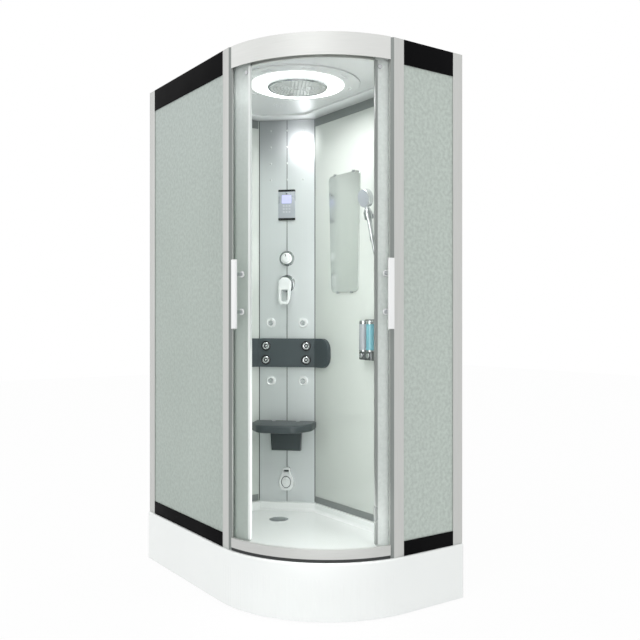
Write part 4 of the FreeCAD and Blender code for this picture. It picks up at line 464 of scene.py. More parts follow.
@dataclass(frozen=True)
class HoseFinish(Finish):
    """Coiled metal strip whose ridges run round the hose, counted along its own UV map."""

    ridges: float = 420.0

    def refine(self, tree: Tree, shader: Node, place: Node, drift: Node) -> None:
        """Raise a ridge for each turn of the strip."""
        parts = add(tree, "SeparateXYZ", {0: place.outputs["UV"]})
        count = add(tree, "Math", {0: parts.outputs["X"], 1: self.ridges}, operation="MULTIPLY")
        wave = add(tree, "Math", {0: count.outputs[0], 1: 0.5}, operation="PINGPONG")
        self.raise_relief(tree, shader, wave.outputs[0], 0.7, 0.001)


@dataclass(frozen=True)
class HandleFinish(Finish):
    """A painted bar whose stand-offs, nearer to the doors' centre, are plated."""

    plated: Colour = (0.8, 0.81, 0.82)
    bar_radius: float = 0.5026

    def refine(self, tree: Tree, shader: Node, place: Node, drift: Node) -> None:
        """Plate what lies inside the bar's own radius."""
        ring = self.group(tree, "ring", place, Centre=ARC_CENTRE, Radius=self.bar_radius)
        colour = self.blend(tree, ring.outputs["Mask"], drift.outputs["Color"], self.plated)
        tree.links.new(colour, shader.inputs["Base Color"])
        tree.links.new(ring.outputs["Mask"], shader.inputs["Metallic"])


ACRYLIC = TreadFinish("acrylic", (0.975, 0.985, 0.98), (0.955, 0.968, 0.963), gloss=(0.16, 0.24), coat=0.3, grain=0.01)
ALUMINIUM = Finish("aluminium", (0.805, 0.81, 0.8), (0.775, 0.78, 0.77), gloss=(0.3, 0.42), metal=0.8,
                   stretch=(60, 60, 1.5), tone_scale=6, grain_scale=14, grain=0.05)
RAIL_SILVER = replace(ALUMINIUM, name="rail_silver", first=(0.89, 0.895, 0.885), second=(0.865, 0.87, 0.86),
                      gloss=(0.42, 0.52), metal=0.7, stretch=(2, 2, 60))
# painted shade: the bottom rail takes a darker copy of the top rail's silver
SHADED_SILL_SILVER = replace(RAIL_SILVER, name="shaded_sill_silver", first=(0.81, 0.815, 0.805), second=(0.78, 0.785, 0.775))
# painted shade: a darker copy of the aluminium for the posts' slanting faces beside the doors
SHADED_REVEAL_GREY = replace(ALUMINIUM, name="shaded_reveal_grey", first=(0.56, 0.58, 0.57), second=(0.5, 0.52, 0.51), metal=0.3)
BLACK_PAINT = Finish("black_paint", (0.065, 0.065, 0.07), (0.045, 0.045, 0.05), gloss=(0.5, 0.62), refraction=1.1,
                     grain=0.03)
# painted light: the fixed panes turn lighter towards the top and to the right
FROSTED = FrostFinish("frosted_glass", (0.8, 0.84, 0.815), (0.775, 0.815, 0.79), gloss=(0.45, 0.6), clear=0.2,
                      refraction=1.2, grain_scale=900, grain=0.3, tone_scale=2.2, shading_at_top=(0.81, 0.848, 0.83),
                      shading_from=1.3, shading_to=2.05, pit_share=0.34, pit_depth=0.3)
# painted light: the doors turn lighter towards the top and to the right
DOOR_FROSTED = replace(FROSTED, name="door_frosted_glass", first=(0.78, 0.82, 0.795), second=(0.745, 0.785, 0.76),
                       clear=0.35, refraction=1.3, shading_at_top=(0.87, 0.895, 0.885), side=(0.95, 0.97, 0.96), lit_side_share=0.9,
                       pit_shade=(0.7, 0.74, 0.715), pit_share=0.16, pit_depth=0.14)
SEAL_WHITE = Finish("seal_white", (0.93, 0.945, 0.94), (0.89, 0.91, 0.9), gloss=(0.3, 0.42), grain=0.02)
SEAL_CLEAR = Finish("seal_clear", (0.7, 0.72, 0.71), (0.64, 0.66, 0.65), gloss=(0.25, 0.4), clear=0.4, refraction=1.3,
                    grain=0.02)
# partly painted shade: a dark seal strip whose darkness also stands for the shade in the gap under the rails
GASKET_AND_GAP_SHADE = Finish("gasket_dark_and_gap_shade", (0.22, 0.23, 0.23), (0.17, 0.18, 0.18), gloss=(0.5, 0.7), grain=0.2)
HANDLE = HandleFinish("handle_white", (0.97, 0.975, 0.975), (0.95, 0.955, 0.955), gloss=(0.16, 0.25), coat=0.4,
                      grain=0.01)
CHROME = Finish("chrome", (0.76, 0.77, 0.775), (0.68, 0.69, 0.695), gloss=(0.06, 0.14), metal=1.0, grain=0.01)
DARK_CHROME = Finish("dark_chrome", (0.5, 0.51, 0.515), (0.42, 0.43, 0.435), gloss=(0.1, 0.2), metal=0.9, grain=0.01)
SATIN_CHROME = Finish("satin_chrome", (0.86, 0.87, 0.875), (0.8, 0.81, 0.815), gloss=(0.14, 0.22), metal=0.75,
                      grain=0.02)
PEARL_CHROME = Finish("pearl_chrome", (0.95, 0.96, 0.96), (0.92, 0.93, 0.93), gloss=(0.12, 0.2), metal=0.25, coat=0.4,
                      grain=0.0)
NYLON = Finish("nylon", (0.86, 0.86, 0.84), (0.82, 0.82, 0.8), gloss=(0.4, 0.55), grain=0.1)
# painted light: the wall glass turns lighter towards the top
WALL_GLASS = HeightShadedFinish("wall_glass", (0.812, 0.835, 0.815), (0.787, 0.81, 0.79), gloss=(0.03, 0.07), coat=0.4,
                         grain=0.0, tone_scale=1.1, shading_at_top=(0.845, 0.862, 0.846), shading_from=1.2, shading_to=1.95)
TRIM_GREY = Finish("trim_grey", (0.57, 0.59, 0.585), (0.53, 0.55, 0.545), gloss=(0.35, 0.5), metal=0.3, grain=0.05)
# painted shade: the column turns darker towards the top, under the roof
COLUMN_METAL = HeightShadedFinish("column_metal", (0.85, 0.868, 0.87), (0.832, 0.85, 0.852), gloss=(0.3, 0.33), metal=0.4,
                           stretch=(90, 90, 1.0), tone_scale=2.5, grain_scale=16, grain=0.012,
                           shading_at_top=(0.7, 0.712, 0.722), shading_from=1.75, shading_to=2.02)
PANEL_SILVER = Finish("panel_silver", (0.72, 0.74, 0.76), (0.67, 0.69, 0.72), gloss=(0.2, 0.3), metal=0.2, grain=0.02)
PANEL_BLACK = Finish("panel_black", (0.07, 0.07, 0.08), (0.05, 0.05, 0.055), gloss=(0.12, 0.2), coat=0.4, grain=0.01)
SCREEN = Finish("screen_violet", (0.7, 0.71, 0.93), (0.76, 0.77, 0.96), gloss=(0.08, 0.14), coat=0.5, glow=0.35,
                tone_scale=30, grain=0.0)
KEY_GREY = Finish("key_grey", (0.8, 0.81, 0.83), (0.76, 0.77, 0.79), gloss=(0.3, 0.4), grain=0.02)
BRASS = Finish("brass", (0.78, 0.66, 0.4), (0.7, 0.58, 0.34), gloss=(0.25, 0.4), metal=1.0, grain=0.1)
PAD_SLATE = Finish("pad_slate", (0.278, 0.312, 0.325), (0.245, 0.28, 0.292), gloss=(0.42, 0.55), grain_scale=900,
                   grain=0.25)
SEAT_SLATE = Finish("seat_slate", (0.268, 0.3, 0.308), (0.23, 0.262, 0.27), gloss=(0.35, 0.5), grain_scale=700,
                    grain=0.2)
PAD_BLACK = Finish("ring_black", (0.1, 0.11, 0.115), (0.07, 0.08, 0.085), gloss=(0.25, 0.4), grain=0.05)
HOSE = HoseFinish("hose_strip", (0.82, 0.83, 0.835), (0.74, 0.75, 0.755), gloss=(0.2, 0.3), metal=0.95, grain=0.0)
# painted reflection: the tone is stretched into upright grey streaks that stand for reflections in the mirror
MIRROR = Finish("mirror_silver", (0.89, 0.905, 0.895), (0.85, 0.868, 0.856), gloss=(0.17, 0.23), metal=0.85,
                stretch=(14, 14, 0.4), tone_scale=2.0, grain=0.0)
STEEL = Finish("plain_steel", (0.72, 0.73, 0.735), (0.66, 0.67, 0.675), gloss=(0.3, 0.45), metal=0.9, grain=0.1)
TUBE_GREY = Finish("tube_grey", (0.68, 0.7, 0.72), (0.63, 0.65, 0.67), gloss=(0.08, 0.16), coat=0.6, clear=0.2,
                   grain=0.0)
TUBE_TEAL = Finish("tube_teal", (0.49, 0.72, 0.76), (0.44, 0.67, 0.72), gloss=(0.08, 0.16), coat=0.6, clear=0.2,
                   grain=0.0)
ROOF_WHITE = Finish("roof_acrylic", (0.94, 0.945, 0.95), (0.91, 0.916, 0.92), gloss=(0.12, 0.2), coat=0.3, grain=0.02,
                    tone_scale=2)
LIGHT_OPAL = Finish("light_opal", (1.0, 1.0, 1.0), (0.97, 0.99, 0.98), gloss=(0.3, 0.4), glow=1.3, grain=0.0)
NOZZLE_GREY = Finish("nozzle_grey", (0.72, 0.735, 0.73), (0.66, 0.675, 0.67), gloss=(0.4, 0.5), grain=0.05)
RAIN_FACE = Finish("rain_face", (0.91, 0.915, 0.91), (0.87, 0.875, 0.87), gloss=(0.2, 0.32), metal=0.2, grain=0.02)
# the column's dark joints are real; the same dark finish in the steam outlet's slot is painted shade
JOINT_DARK_AND_SLOT_SHADE = Finish("joint_dark_and_slot_shade", (0.25, 0.27, 0.27), (0.2, 0.22, 0.22), gloss=(0.5, 0.65), grain=0.03)
PLASTIC_BLACK = Finish("plastic_black", (0.13, 0.13, 0.135), (0.1, 0.1, 0.105), gloss=(0.4, 0.55), grain=0.15)
PIPE_GREY = Finish("pipe_grey", (0.74, 0.75, 0.76), (0.7, 0.71, 0.72), gloss=(0.35, 0.5), grain=0.08)
DOT_RED = Finish("dot_red", (0.75, 0.16, 0.14), (0.68, 0.13, 0.12), gloss=(0.2, 0.3), grain=0.0)
DOT_BLUE = Finish("dot_blue", (0.16, 0.3, 0.72), (0.13, 0.26, 0.66), gloss=(0.2, 0.3), grain=0.0)
PRIMER_GREY = Finish("primer_grey", (0.45, 0.46, 0.47), (0.4, 0.41, 0.42), gloss=(0.5, 0.65), grain=0.15)


NODE_FINISHES: tuple[tuple[Finish, str], ...] = (
    (ACRYLIC, "tray"),
    (PRIMER_GREY, "tray_frame"),
    (PLASTIC_BLACK, "leveling_feet fan_impeller"),
    (PIPE_GREY, "drain_trap"),
    (CHROME, "drain_cover left_door_fittings right_door_fittings column_nozzles valve_plates mixer_spindle "
             "mixer_lever shower_holder hose_elbow soap_dispenser left_dispenser_button right_dispenser_button"),
    (FROSTED, "fixed_glass"),
    (BLACK_PAINT, "panel_rails"),
    (ALUMINIUM, "wall_profiles frame_posts"),
    (RAIL_SILVER, "top_rail"),
    (SHADED_SILL_SILVER, "bottom_rail"),
    (GASKET_AND_GAP_SHADE, "rail_gasket"),
    (DOOR_FROSTED, "left_door_glass right_door_glass"),
    (SEAL_WHITE, "left_door_seal"),
    (SEAL_CLEAR, "right_door_seal"),
    (HANDLE, "left_door_handle right_door_handle"),
    (NYLON, "left_front_roller left_rear_roller right_front_roller right_rear_roller"),
    (WALL_GLASS, "rear_wall_left rear_wall_right"),
    (TRIM_GREY, "wall_trims"),
    (COLUMN_METAL, "column_panels"),
    (PANEL_SILVER, "control_panel"),
    (SCREEN, "control_display"),
    (BRASS, "mixing_valve"),
    (STEEL, "riser_pipe steam_generator"),
    (PEARL_CHROME, "selector_knob jet_housings"),
    (SATIN_CHROME, "body_jet_1 body_jet_2 body_jet_3 body_jet_4 pad_jets steam_outlet hand_shower"),
    (PAD_SLATE, "massage_pad"),
    (SEAT_SLATE, "seat_bracket seat"),
    (MIRROR, "mirror"),
    (ROOF_WHITE, "roof"),
    (LIGHT_OPAL, "led_ring"),
    (RAIN_FACE, "rain_head"),
)


def dress_nodes() -> None:
    """Give every carried-over node its finish."""
    for finish, names in NODE_FINISHES:
        for name in names.split():
            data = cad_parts[name].data
            data.materials.clear()
            data.materials.append(finish.material())


# ---------------------------------------------------------------- mesh work

def placed(name: str, data: bpy.types.ID) -> bpy.types.Object:
    """Put some data into the scene as an object of this name."""
    item = bpy.data.objects.new(name, data)
    bpy.context.scene.collection.objects.link(item)
    return item


def ease(mesh: bmesh.types.BMesh, items: list, width: float, segments: int, affect: str = "EDGES") -> None:
    """Round some edges or corners of a bmesh."""
    bmesh.ops.bevel(mesh, geom=items, offset=width, offset_type="OFFSET", segments=segments, profile=0.5,
                    affect=affect, clamp_overlap=True, material=-1)


class Workpiece:
    """A bmesh in the making, with the operations that shape it."""

    def __init__(self, name: str) -> None:
        """Start an empty piece of this name."""
        self.name = name
        self.mesh = bmesh.new()

    def round(self, place: Matrix, radius: float, depth: float, sides: int = 48, bevel: float = 0.0) -> None:
        """Add a round that stands on the place along its Z axis.

        Args:
            place: frame of its foot.
            radius: its radius in metres.
            depth: length along the frame's Z axis.
            sides: number of sides.
            bevel: width of the rounding at both rims.
        """
        made = bmesh.ops.create_cone(
            self.mesh, cap_ends=True, segments=sides, radius1=radius, radius2=radius, depth=depth,
            matrix=place @ Matrix.Translation((0, 0, depth / 2)))
        if bevel:
            fresh = set(made["verts"])
            rims = [edge for edge in self.mesh.edges if set(edge.verts) <= fresh
                    and any(len(face.verts) > 4 for face in edge.link_faces)]
            self.bevel(rims, bevel)

    def bevel(self, edges: list, width: float, segments: int = EDGE_STEPS) -> None:
        """Round some edges."""
        ease(self.mesh, edges, width, segments)

    def block(self, place: Matrix, size: tuple[float, float, float], bevel: float = 0.0) -> None:
        """Add a block centred in X and Y that stands on the place along its Z axis."""
        scale = Matrix.Diagonal((*size, 1.0))
        middle = place @ Matrix.Translation((0, 0, size[2] / 2))
        made = bmesh.ops.create_cube(self.mesh, size=1.0, matrix=middle @ scale)
        if bevel:
            fresh = set(made["verts"])
            self.bevel([edge for edge in self.mesh.edges if set(edge.verts) <= fresh], bevel)

    def lathe(self, place: Matrix, outline: Outline, steps: int = 48) -> None:
        """Spin an outline of (radius, height) points about the place's Z axis.

        Args:
            place: frame of the axis.
            outline: points from one end to the other; a radius of 0 closes the end.
            steps: number of steps round the axis.
        """
        made = bmesh.new()
        corners = [made.verts.new((radius, 0.0, height)) for radius, height in outline]
        edges = [made.edges.new(pair) for pair in zip(corners, corners[1:])]
        bmesh.ops.spin(made, geom=[*corners, *edges], cent=(0, 0, 0), axis=(0, 0, 1), angle=math.tau, steps=steps,
                       use_merge=True, use_duplicate=False)
        bmesh.ops.remove_doubles(made, verts=made.verts, dist=MERGE_SPUN)
        bmesh.ops.recalc_face_normals(made, faces=made.faces)
        bmesh.ops.transform(made, matrix=place, verts=made.verts)
        self.join(made)

    def plate(self, place: Matrix, outline: Outline, depth: float, bevel: float = 0.0,
              corner: float = 0.0) -> None:
        """Raise a flat outline into a plate along the place's Z axis.

        Args:
            place: frame of the plate's back.
            outline: points in the frame's XY plane, anticlockwise.
            depth: the plate's thickness.
            bevel: width of the rounding round its front.
            corner: radius of the outline's corners.
        """
        made = bmesh.new()
        corners = [made.verts.new((x, y, 0.0)) for x, y in outline]
        made.faces.new(corners)
        if corner:
            ease(made, corners, corner, CORNER_STEPS, "VERTICES")
        raised = bmesh.ops.extrude_face_region(made, geom=made.faces[:], use_keep_orig=True)
        moved = [item for item in raised["geom"] if isinstance(item, bmesh.types.BMVert)]
        bmesh.ops.translate(made, vec=(0, 0, depth), verts=moved)
        if bevel:
            front = set(moved)
            rim = [edge for edge in made.edges if set(edge.verts) <= front]
            ease(made, rim, bevel, EDGE_STEPS)
        bmesh.ops.recalc_face_normals(made, faces=made.faces)
        bmesh.ops.transform(made, matrix=place, verts=made.verts)
        self.join(made)

    def dome(self, place: Matrix, radius: float, rings: int = 8, sides: int = 16, squash: float = 1.0) -> None:
        """Add a ball, or a flattened one, centred on the place."""
        bmesh.ops.create_uvsphere(self.mesh, u_segments=sides, v_segments=rings, radius=radius,
                                  matrix=place @ Matrix.Diagonal((1, 1, squash, 1)))

    def join(self, other: bmesh.types.BMesh) -> None:
        """Take another bmesh into this one."""
        carrier = bpy.data.meshes.new("carrier")
        other.to_mesh(carrier)
        other.free()
        self.mesh.from_mesh(carrier)
        bpy.data.meshes.remove(carrier)

    def copy_node(self, node: str) -> None:
        """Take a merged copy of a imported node, its flat faces made whole."""
        self.mesh.from_mesh(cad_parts[node].data)
        bmesh.ops.remove_doubles(self.mesh, verts=self.mesh.verts, dist=MERGE_PACKED)
        bmesh.ops.dissolve_limit(self.mesh, angle_limit=FLAT_BELOW, use_dissolve_boundaries=False,
                                 verts=self.mesh.verts, edges=self.mesh.edges)

    def soften(self, width: float, sharper_than: float = 35.0, segments: int = EDGE_STEPS,
               keep: Callable[[bmesh.types.BMEdge], bool] | None = None) -> None:
        """Round every edge that is sharper than an angle in degrees and passes the test."""
        sharp = [edge for edge in self.mesh.edges if len(edge.link_faces) == 2
                 and edge.calc_face_angle(0.0) > math.radians(sharper_than) and (keep is None or keep(edge))]
        self.bevel(sharp, width, segments)

    def deliver(self, finish: Finish, body: Body, replaced: Sequence[str] = ()) -> bpy.types.Object:
        """Turn the bmesh into a finished object that rides a body.

        Args:
            finish: its finish.
            body: the body it moves with.
            replaced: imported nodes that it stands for.

        Returns:
            The new object.
        """
        for face in self.mesh.faces:
            face.smooth = True
        data = bpy.data.meshes.new(self.name)
        self.mesh.to_mesh(data)
        self.mesh.free()
        data.set_sharp_from_angle(angle=SMOOTH_BELOW)
        data.materials.append(finish.material())
        piece = placed(self.name, data)
        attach(piece, body.value)
        if replaced:
            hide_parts(*replaced)
        LOG.info("%s: %d faces", self.name, len(data.polygons))
        return piece


def softened(node: str, name: str, finish: Finish, body: Body, width: float,
             sharper_than: float = 35.0) -> bpy.types.Object:
    """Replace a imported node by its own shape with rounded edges.

    Args:
        node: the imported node.
        name: the new piece's name.
        finish: its finish.
        body: the body it moves with.
        width: width of the rounding in metres.
        sharper_than: only edges that turn by more degrees than this are rounded.

    Returns:
        The new object.
    """
    piece = Workpiece(name)
    piece.copy_node(node)
    piece.soften(width, sharper_than)
    return piece.deliver(finish, body, (node,))


# ---------------------------------------------------------------- frame and tray

@dataclass
class Enclosure:
    """Tray, profiles, posts and rails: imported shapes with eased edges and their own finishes."""

    edge: float = 0.0012
    cap_edge: float = 0.0008
    reveal_lean: tuple[float, float] = (0.35, 1.2)
    reveal_reach: float = 0.489

    def build(self) -> None:
        """Ease the edges of the profiles, the posts and the panels' rails."""
        softened("wall_profiles", "wall_profiles_eased", ALUMINIUM, Body.CABIN, self.edge, 50)
        posts = softened("frame_posts", "frame_posts_eased", ALUMINIUM, Body.CABIN, self.edge, 25)
        self.paint_reveal_shade(posts)
        softened("panel_rails", "panel_rails_eased", BLACK_PAINT, Body.CABIN, self.cap_edge, 50)

    def paint_reveal_shade(self, posts: bpy.types.Object) -> None:
        """Paint shade on the posts' narrow slanting faces beside the doors, with a darker copy of their aluminium."""
        posts.data.materials.append(SHADED_REVEAL_GREY.material())
        for face in posts.data.polygons:
            out = Vector((face.center.x, face.center.y, 0.0)) - ARC_CENTRE
            lean = face.normal.angle(out)
            slanting = self.reveal_lean[0] < lean < self.reveal_lean[1] and abs(face.normal.z) < 0.2
            if slanting and out.length < self.reveal_reach:
                face.material_index = 1


@dataclass
class DoorHardware:
    """Handles of both doors, with a plated rosette where each stand-off meets the glass."""

    edge: float = 0.0015
    glass: float = 0.470
    bolts: tuple[float, float] = (1.104, 1.244)
    rosette: float = 0.0125
    rosette_depth: float = 0.006
    angles: tuple[float, float] = (-77.73, -8.57)

    def build(self) -> None:
        """Round the handles' ends and set the rosettes."""
        for side, body, angle in zip(("left", "right"), (Body.LEFT_DOOR, Body.RIGHT_DOOR), self.angles):
            softened(f"{side}_door_handle", f"{side}_handle_bar", HANDLE, body, self.edge, 50)
            rosettes = Workpiece(f"{side}_handle_rosettes")
            radius, depth = self.rosette, self.rosette_depth
            for height in self.bolts:
                rosettes.lathe(on_door(angle, self.glass, height),
                               ((0.0066, 0.0004), (radius, 0.0004), (radius, depth * 0.6), (radius - 0.0015, depth),
                                (0.0085, depth), (0.0066, depth * 0.85), (0.0066, 0.0004)), 32)
            rosettes.deliver(PEARL_CHROME, body)


# ---------------------------------------------------------------- column

@dataclass
class ColumnLines:
    """Dark joint lines between the column's sheets and along both of its edges."""

    low: float = 0.196
    high: float = 2.046
    half: float = 0.1385
    width: float = 0.0026
    proud: float = 0.0006

    def build(self) -> None:
        """Build the three lines."""
        lines = Workpiece("column_joint_lines")
        for along in (-self.half, 0.0, self.half):
            lines.block(on_column(along, (self.low + self.high) / 2), (self.width, self.high - self.low, self.proud))
        lines.deliver(JOINT_DARK_AND_SLOT_SHADE, Body.CABIN)


@dataclass
class SprayNozzles:
    """Three columns of small fixed nozzles, each a bezel with a rubber tip."""

    spread: float = 0.081
    top: float = 2.0
    pitch: float = 0.08
    rows: int = 4
    radius: float = 0.0045
    height: float = 0.005

    def places(self) -> list[Matrix]:
        """Frames of the nozzles on the column's face."""
        return [on_column(across * self.spread, self.top - row * self.pitch)
                for row in range(self.rows) for across in (-1, 0, 1)]

    def build(self) -> None:
        """Build bezels and tips."""
        bezels = Workpiece("nozzle_bezels")
        tips = Workpiece("nozzle_tips")
        radius, height = self.radius, self.height
        for place in self.places():
            bezels.lathe(place, ((0, 0), (radius, 0), (radius, height * 0.3), (radius * 0.75, height * 0.7),
                                 (radius * 0.5, height * 0.75), (radius * 0.45, height * 0.5), (0, height * 0.5)), 20)
            tips.dome(place @ Matrix.Translation((0, 0, height * 0.55)), radius * 0.42, 6, 10, 0.9)
        bezels.deliver(PEARL_CHROME, Body.CABIN, ("column_nozzles",))
        tips.deliver(NOZZLE_GREY, Body.CABIN)


@dataclass
class ControlPanel:
    """Touch panel: silver face between two dark bars, a violet display and a field of keys."""

    width: float = 0.084
    low: float = 1.561
    high: float = 1.710
    depth: float = 0.012
    bar: float = 0.011
    display_width: float = 0.047
    display_low: float = 1.643
    display_high: float = 1.683
    key: float = 0.0085
    key_pitch: float = 0.0145

    def build(self) -> None:
        """Build the panel's pieces."""
        middle = (self.low + self.high) / 2
        half = self.width / 2
        tall = (self.high - self.low) / 2
        face = Workpiece("panel_face")
        face.plate(on_column(0, middle), rectangle(half - 0.001, tall), self.depth - 0.001, 0.003, corner=0.004)
        face.deliver(PANEL_SILVER, Body.CABIN, ("control_panel",))
        bars = Workpiece("panel_bars")
        for height in (self.low + self.bar / 2, self.high - self.bar / 2):
            bars.plate(on_column(0, height), rectangle(half, self.bar / 2), self.depth, 0.0025, corner=0.003)
        bars.plate(on_column(0, self.high - self.bar * 1.9, self.depth - 0.001), rectangle(0.004, 0.0022), 0.0006,
                   0.0003, corner=0.0018)
        bars.deliver(PANEL_BLACK, Body.CABIN)
        window = Workpiece("panel_window")
        window.plate(on_column(0, (self.display_low + self.display_high) / 2, self.depth - 0.0012),
                     rectangle(self.display_width / 2, (self.display_high - self.display_low) / 2), 0.0011, 0.0004,
                     corner=0.002)
        window.deliver(SCREEN, Body.CABIN, ("control_display",))
        keys = Workpiece("panel_keys")
        for row in range(3):
            for column in (-1, 0, 1):
                keys.plate(on_column(column * self.key_pitch, self.display_low - 0.013 - row * self.key_pitch,
                                     self.depth - 0.0012),
                           rectangle(self.key * 0.55, self.key * 0.45), 0.001, 0.0004, corner=0.002)
        keys.deliver(KEY_GREY, Body.CABIN)


@dataclass
class Selector:
    """Diverter: a fluted knob with a raised grip and a dial mark."""

    height: float = 1.374
    start: float = 0.0083
    radius: float = 0.027
    depth: float = 0.026
    flutes: int = 24

    def build(self) -> None:
        """Build the knob on its shaft, its grip and its mark."""
        place = on_column(0, self.height)
        radius, start, end = self.radius, self.start, self.start + self.depth
        knob = Workpiece("selector_grip")
        knob.lathe(place, ((0, -0.02), (0.012, -0.02), (0.012, start), (radius - 0.0015, start),
                           (radius, start + 0.0015), (radius, start + 0.007), (radius - 0.002, start + 0.009),
                           (radius * 0.74, start + 0.0105), (radius * 0.7, end - 0.004),
                           (radius * 0.62, end - 0.001), (radius * 0.5, end), (0, end)), 48)
        for spot in around(place, radius * 0.72, self.flutes, start + 0.009):
            knob.round(spot, 0.0013, self.depth - 0.014, sides=8)
        knob.deliver(PEARL_CHROME, Body.SELECTOR, ("selector_knob",))
        mark = Workpiece("selector_mark")
        mark.plate(place @ Matrix.Translation((0, radius * 0.5, end - 0.0006)), rectangle(0.0012, 0.006), 0.0008,
                   0.0003)
        mark.deliver(PANEL_BLACK, Body.SELECTOR)


@dataclass
class Mixer:
    """Single-lever mixer: ball, loop lever and the hot and cold dots of its plate."""

    height: float = 1.252
    plate: float = 0.042
    plate_depth: float = 0.009

    def build(self) -> None:
        """Round the lever and set the dots."""
        softened("mixer_lever", "mixer_loop_lever", PEARL_CHROME, Body.LEVER, 0.0022, 40)
        for name, side, finish in (("hot_dot", -1, DOT_RED), ("cold_dot", 1, DOT_BLUE)):
            dot = Workpiece(name)
            dot.dome(on_column(side * self.plate * 0.78, self.height, self.plate_depth - 0.0046), 0.0022, 8, 14, 0.5)
            dot.deliver(finish, Body.CABIN)


@dataclass
class BodyJets:
    """Swivelling jets: bezels with rings, and spray faces on their balls."""

    spread: float = 0.080
    heights: tuple[float, float] = (1.060, 0.777)
    radius: float = 0.0235
    depth: float = 0.007
    nose: float = 0.011

    def build(self) -> None:
        """Build a bezel ring and a spray face for each jet."""
        rings = Workpiece("jet_rings")
        number = 0
        for height in self.heights:
            for side in (-1, 1):
                number += 1
                place = on_column(side * self.spread, height)
                rings.lathe(place, ((0.0195, self.depth - 0.0005), (0.0205, self.depth + 0.0008),
                                    (0.0188, self.depth + 0.0018), (0.0165, self.depth + 0.0006),
                                    (0.0165, self.depth - 0.001), (0.0195, self.depth - 0.0005)), 40)
                spray = Workpiece(f"jet_spray_{number}")
                face = place @ Matrix.Translation((0, 0, self.nose - 0.0032))
                spray.round(face, 0.0062, 0.0018, sides=28, bevel=0.0004)
                for hole in around(face, 0.0038, 6, 0.0018):
                    spray.dome(hole, 0.0008, 6, 8, 0.8)
                spray.deliver(DARK_CHROME, Body(f"jet_{number}"))
        rings.deliver(PEARL_CHROME, Body.CABIN)


@dataclass
class MassagePad:
    """Moulded foam pad that runs along both walls, with a sunk contour and four ringed jets."""

    edge: float = 0.007
    spread: float = 0.100
    heights: tuple[float, float] = (0.948, 0.880)
    face: float = 0.025
    radius: float = 0.024

    def build(self) -> None:
        """Shape the pad and its jets."""
        pad = Workpiece("massage_cushion")
        pad.copy_node("massage_pad")
        pad.soften(self.edge, 40, 4, keep=lambda edge: all(
            (Vector((v.co.x, v.co.y, 0)) - COLUMN_FOOT).dot(COLUMN_OUT) > 0.012 for v in edge.verts)
            and edge.calc_length() > 0.02)
        piece = pad.deliver(PAD_SLATE, Body.CABIN, ("massage_pad",))
        outer = Workpiece("pad_jet_rings")
        inner = Workpiece("pad_jet_faces")
        cores = Workpiece("pad_jet_cores")
        radius = self.radius
        for side in (-1, 1):
            for height in self.heights:
                place = on_column(side * self.spread, height, self.face)
                outer.lathe(place, ((0.013, -0.01), (radius - 0.0005, -0.0005), (radius, 0.002),
                                    (radius - 0.002, 0.0045),
                                    (radius * 0.78, 0.0055), (radius * 0.72, 0.004), (radius * 0.7, 0.0015),
                                    (0.013, 0.0015), (0.013, -0.01)), 44)
                inner.lathe(place, ((0.0085, 0.0), (radius * 0.74, 0.0), (radius * 0.72, 0.0042),
                                    (radius * 0.6, 0.0062),
                                    (0.0095, 0.0055), (0.0085, 0.003), (0.0085, 0.0)), 40)
                inner.dome(place @ Matrix.Translation((0, 0, 0.0025)), 0.0052, 8, 20, 0.7)
                cores.lathe(place, ((0, -0.004), (0.0088, -0.004), (0.0088, 0.0028), (0.0052, 0.0036), (0.0046, 0.002),
                                    (0, 0.002)), 28)
        outer.deliver(PAD_BLACK, Body.CABIN, ("pad_jets",))
        inner.deliver(SATIN_CHROME, Body.CABIN)
        cores.deliver(PAD_BLACK, Body.CABIN)


@dataclass
class FoldingSeat:
    """Folding seat and its bracket with eased edges."""

    edge: float = 0.003

    def build(self) -> None:
        """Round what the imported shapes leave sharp."""
        softened("seat", "seat_slab", SEAT_SLATE, Body.SEAT, self.edge, 55)
        softened("seat_bracket", "seat_console", SEAT_SLATE, Body.CABIN, 0.0015, 55)


@dataclass
class SteamOutlet:
    """Steam outlet: an eased shell with an oval bezel, and a dark plate of painted shade in the slot of its neck."""

    height: float = 0.286
    depth: float = 0.022
    half_width: float = 0.025
    half_height: float = 0.03
    slot_height: float = 0.3395
    slot_half: float = 0.0125
    slot_floor: float = 0.0088

    def build(self) -> None:
        """Build the shell, its bezel and the grille within."""
        softened("steam_outlet", "steam_shell", PEARL_CHROME, Body.CABIN, 0.001, 50)
        place = on_column(0, self.height, self.depth - 0.0015) @ Matrix.Diagonal((1, self.half_height / self.half_width,
                                                                                  1, 1))
        wide = self.half_width
        bezel = Workpiece("steam_bezel")
        bezel.lathe(place, ((wide - 0.004, 0.0), (wide, 0.0), (wide - 0.0006, 0.0026), (wide - 0.002, 0.0034),
                            (wide - 0.0036, 0.0024), (wide - 0.004, 0.0)), 48)
        bezel.deliver(DARK_CHROME, Body.CABIN)
        # painted shade: a dark plate fills the slot in the neck, where shade falls
        slot_shade = Workpiece("steam_slot_shade")
        slot_shade.plate(on_column(0, self.slot_height), rectangle(self.slot_half, 0.005), self.slot_floor + 0.0006, 0.0003,
                   corner=0.003)
        slot_shade.deliver(JOINT_DARK_AND_SLOT_SHADE, Body.CABIN)
        grille = Workpiece("steam_grille")
        for bar in range(-2, 3):
            reach = wide * math.sqrt(max(0.05, 1 - (bar / 3.2) ** 2)) - 0.005
            grille.block(on_column(0, self.height + bar * 0.0085, self.depth - 0.0012), (reach * 2, 0.0022, 0.0018),
                         0.0005)
        grille.deliver(RAIN_FACE, Body.CABIN)


# ---------------------------------------------------------------- rear wall

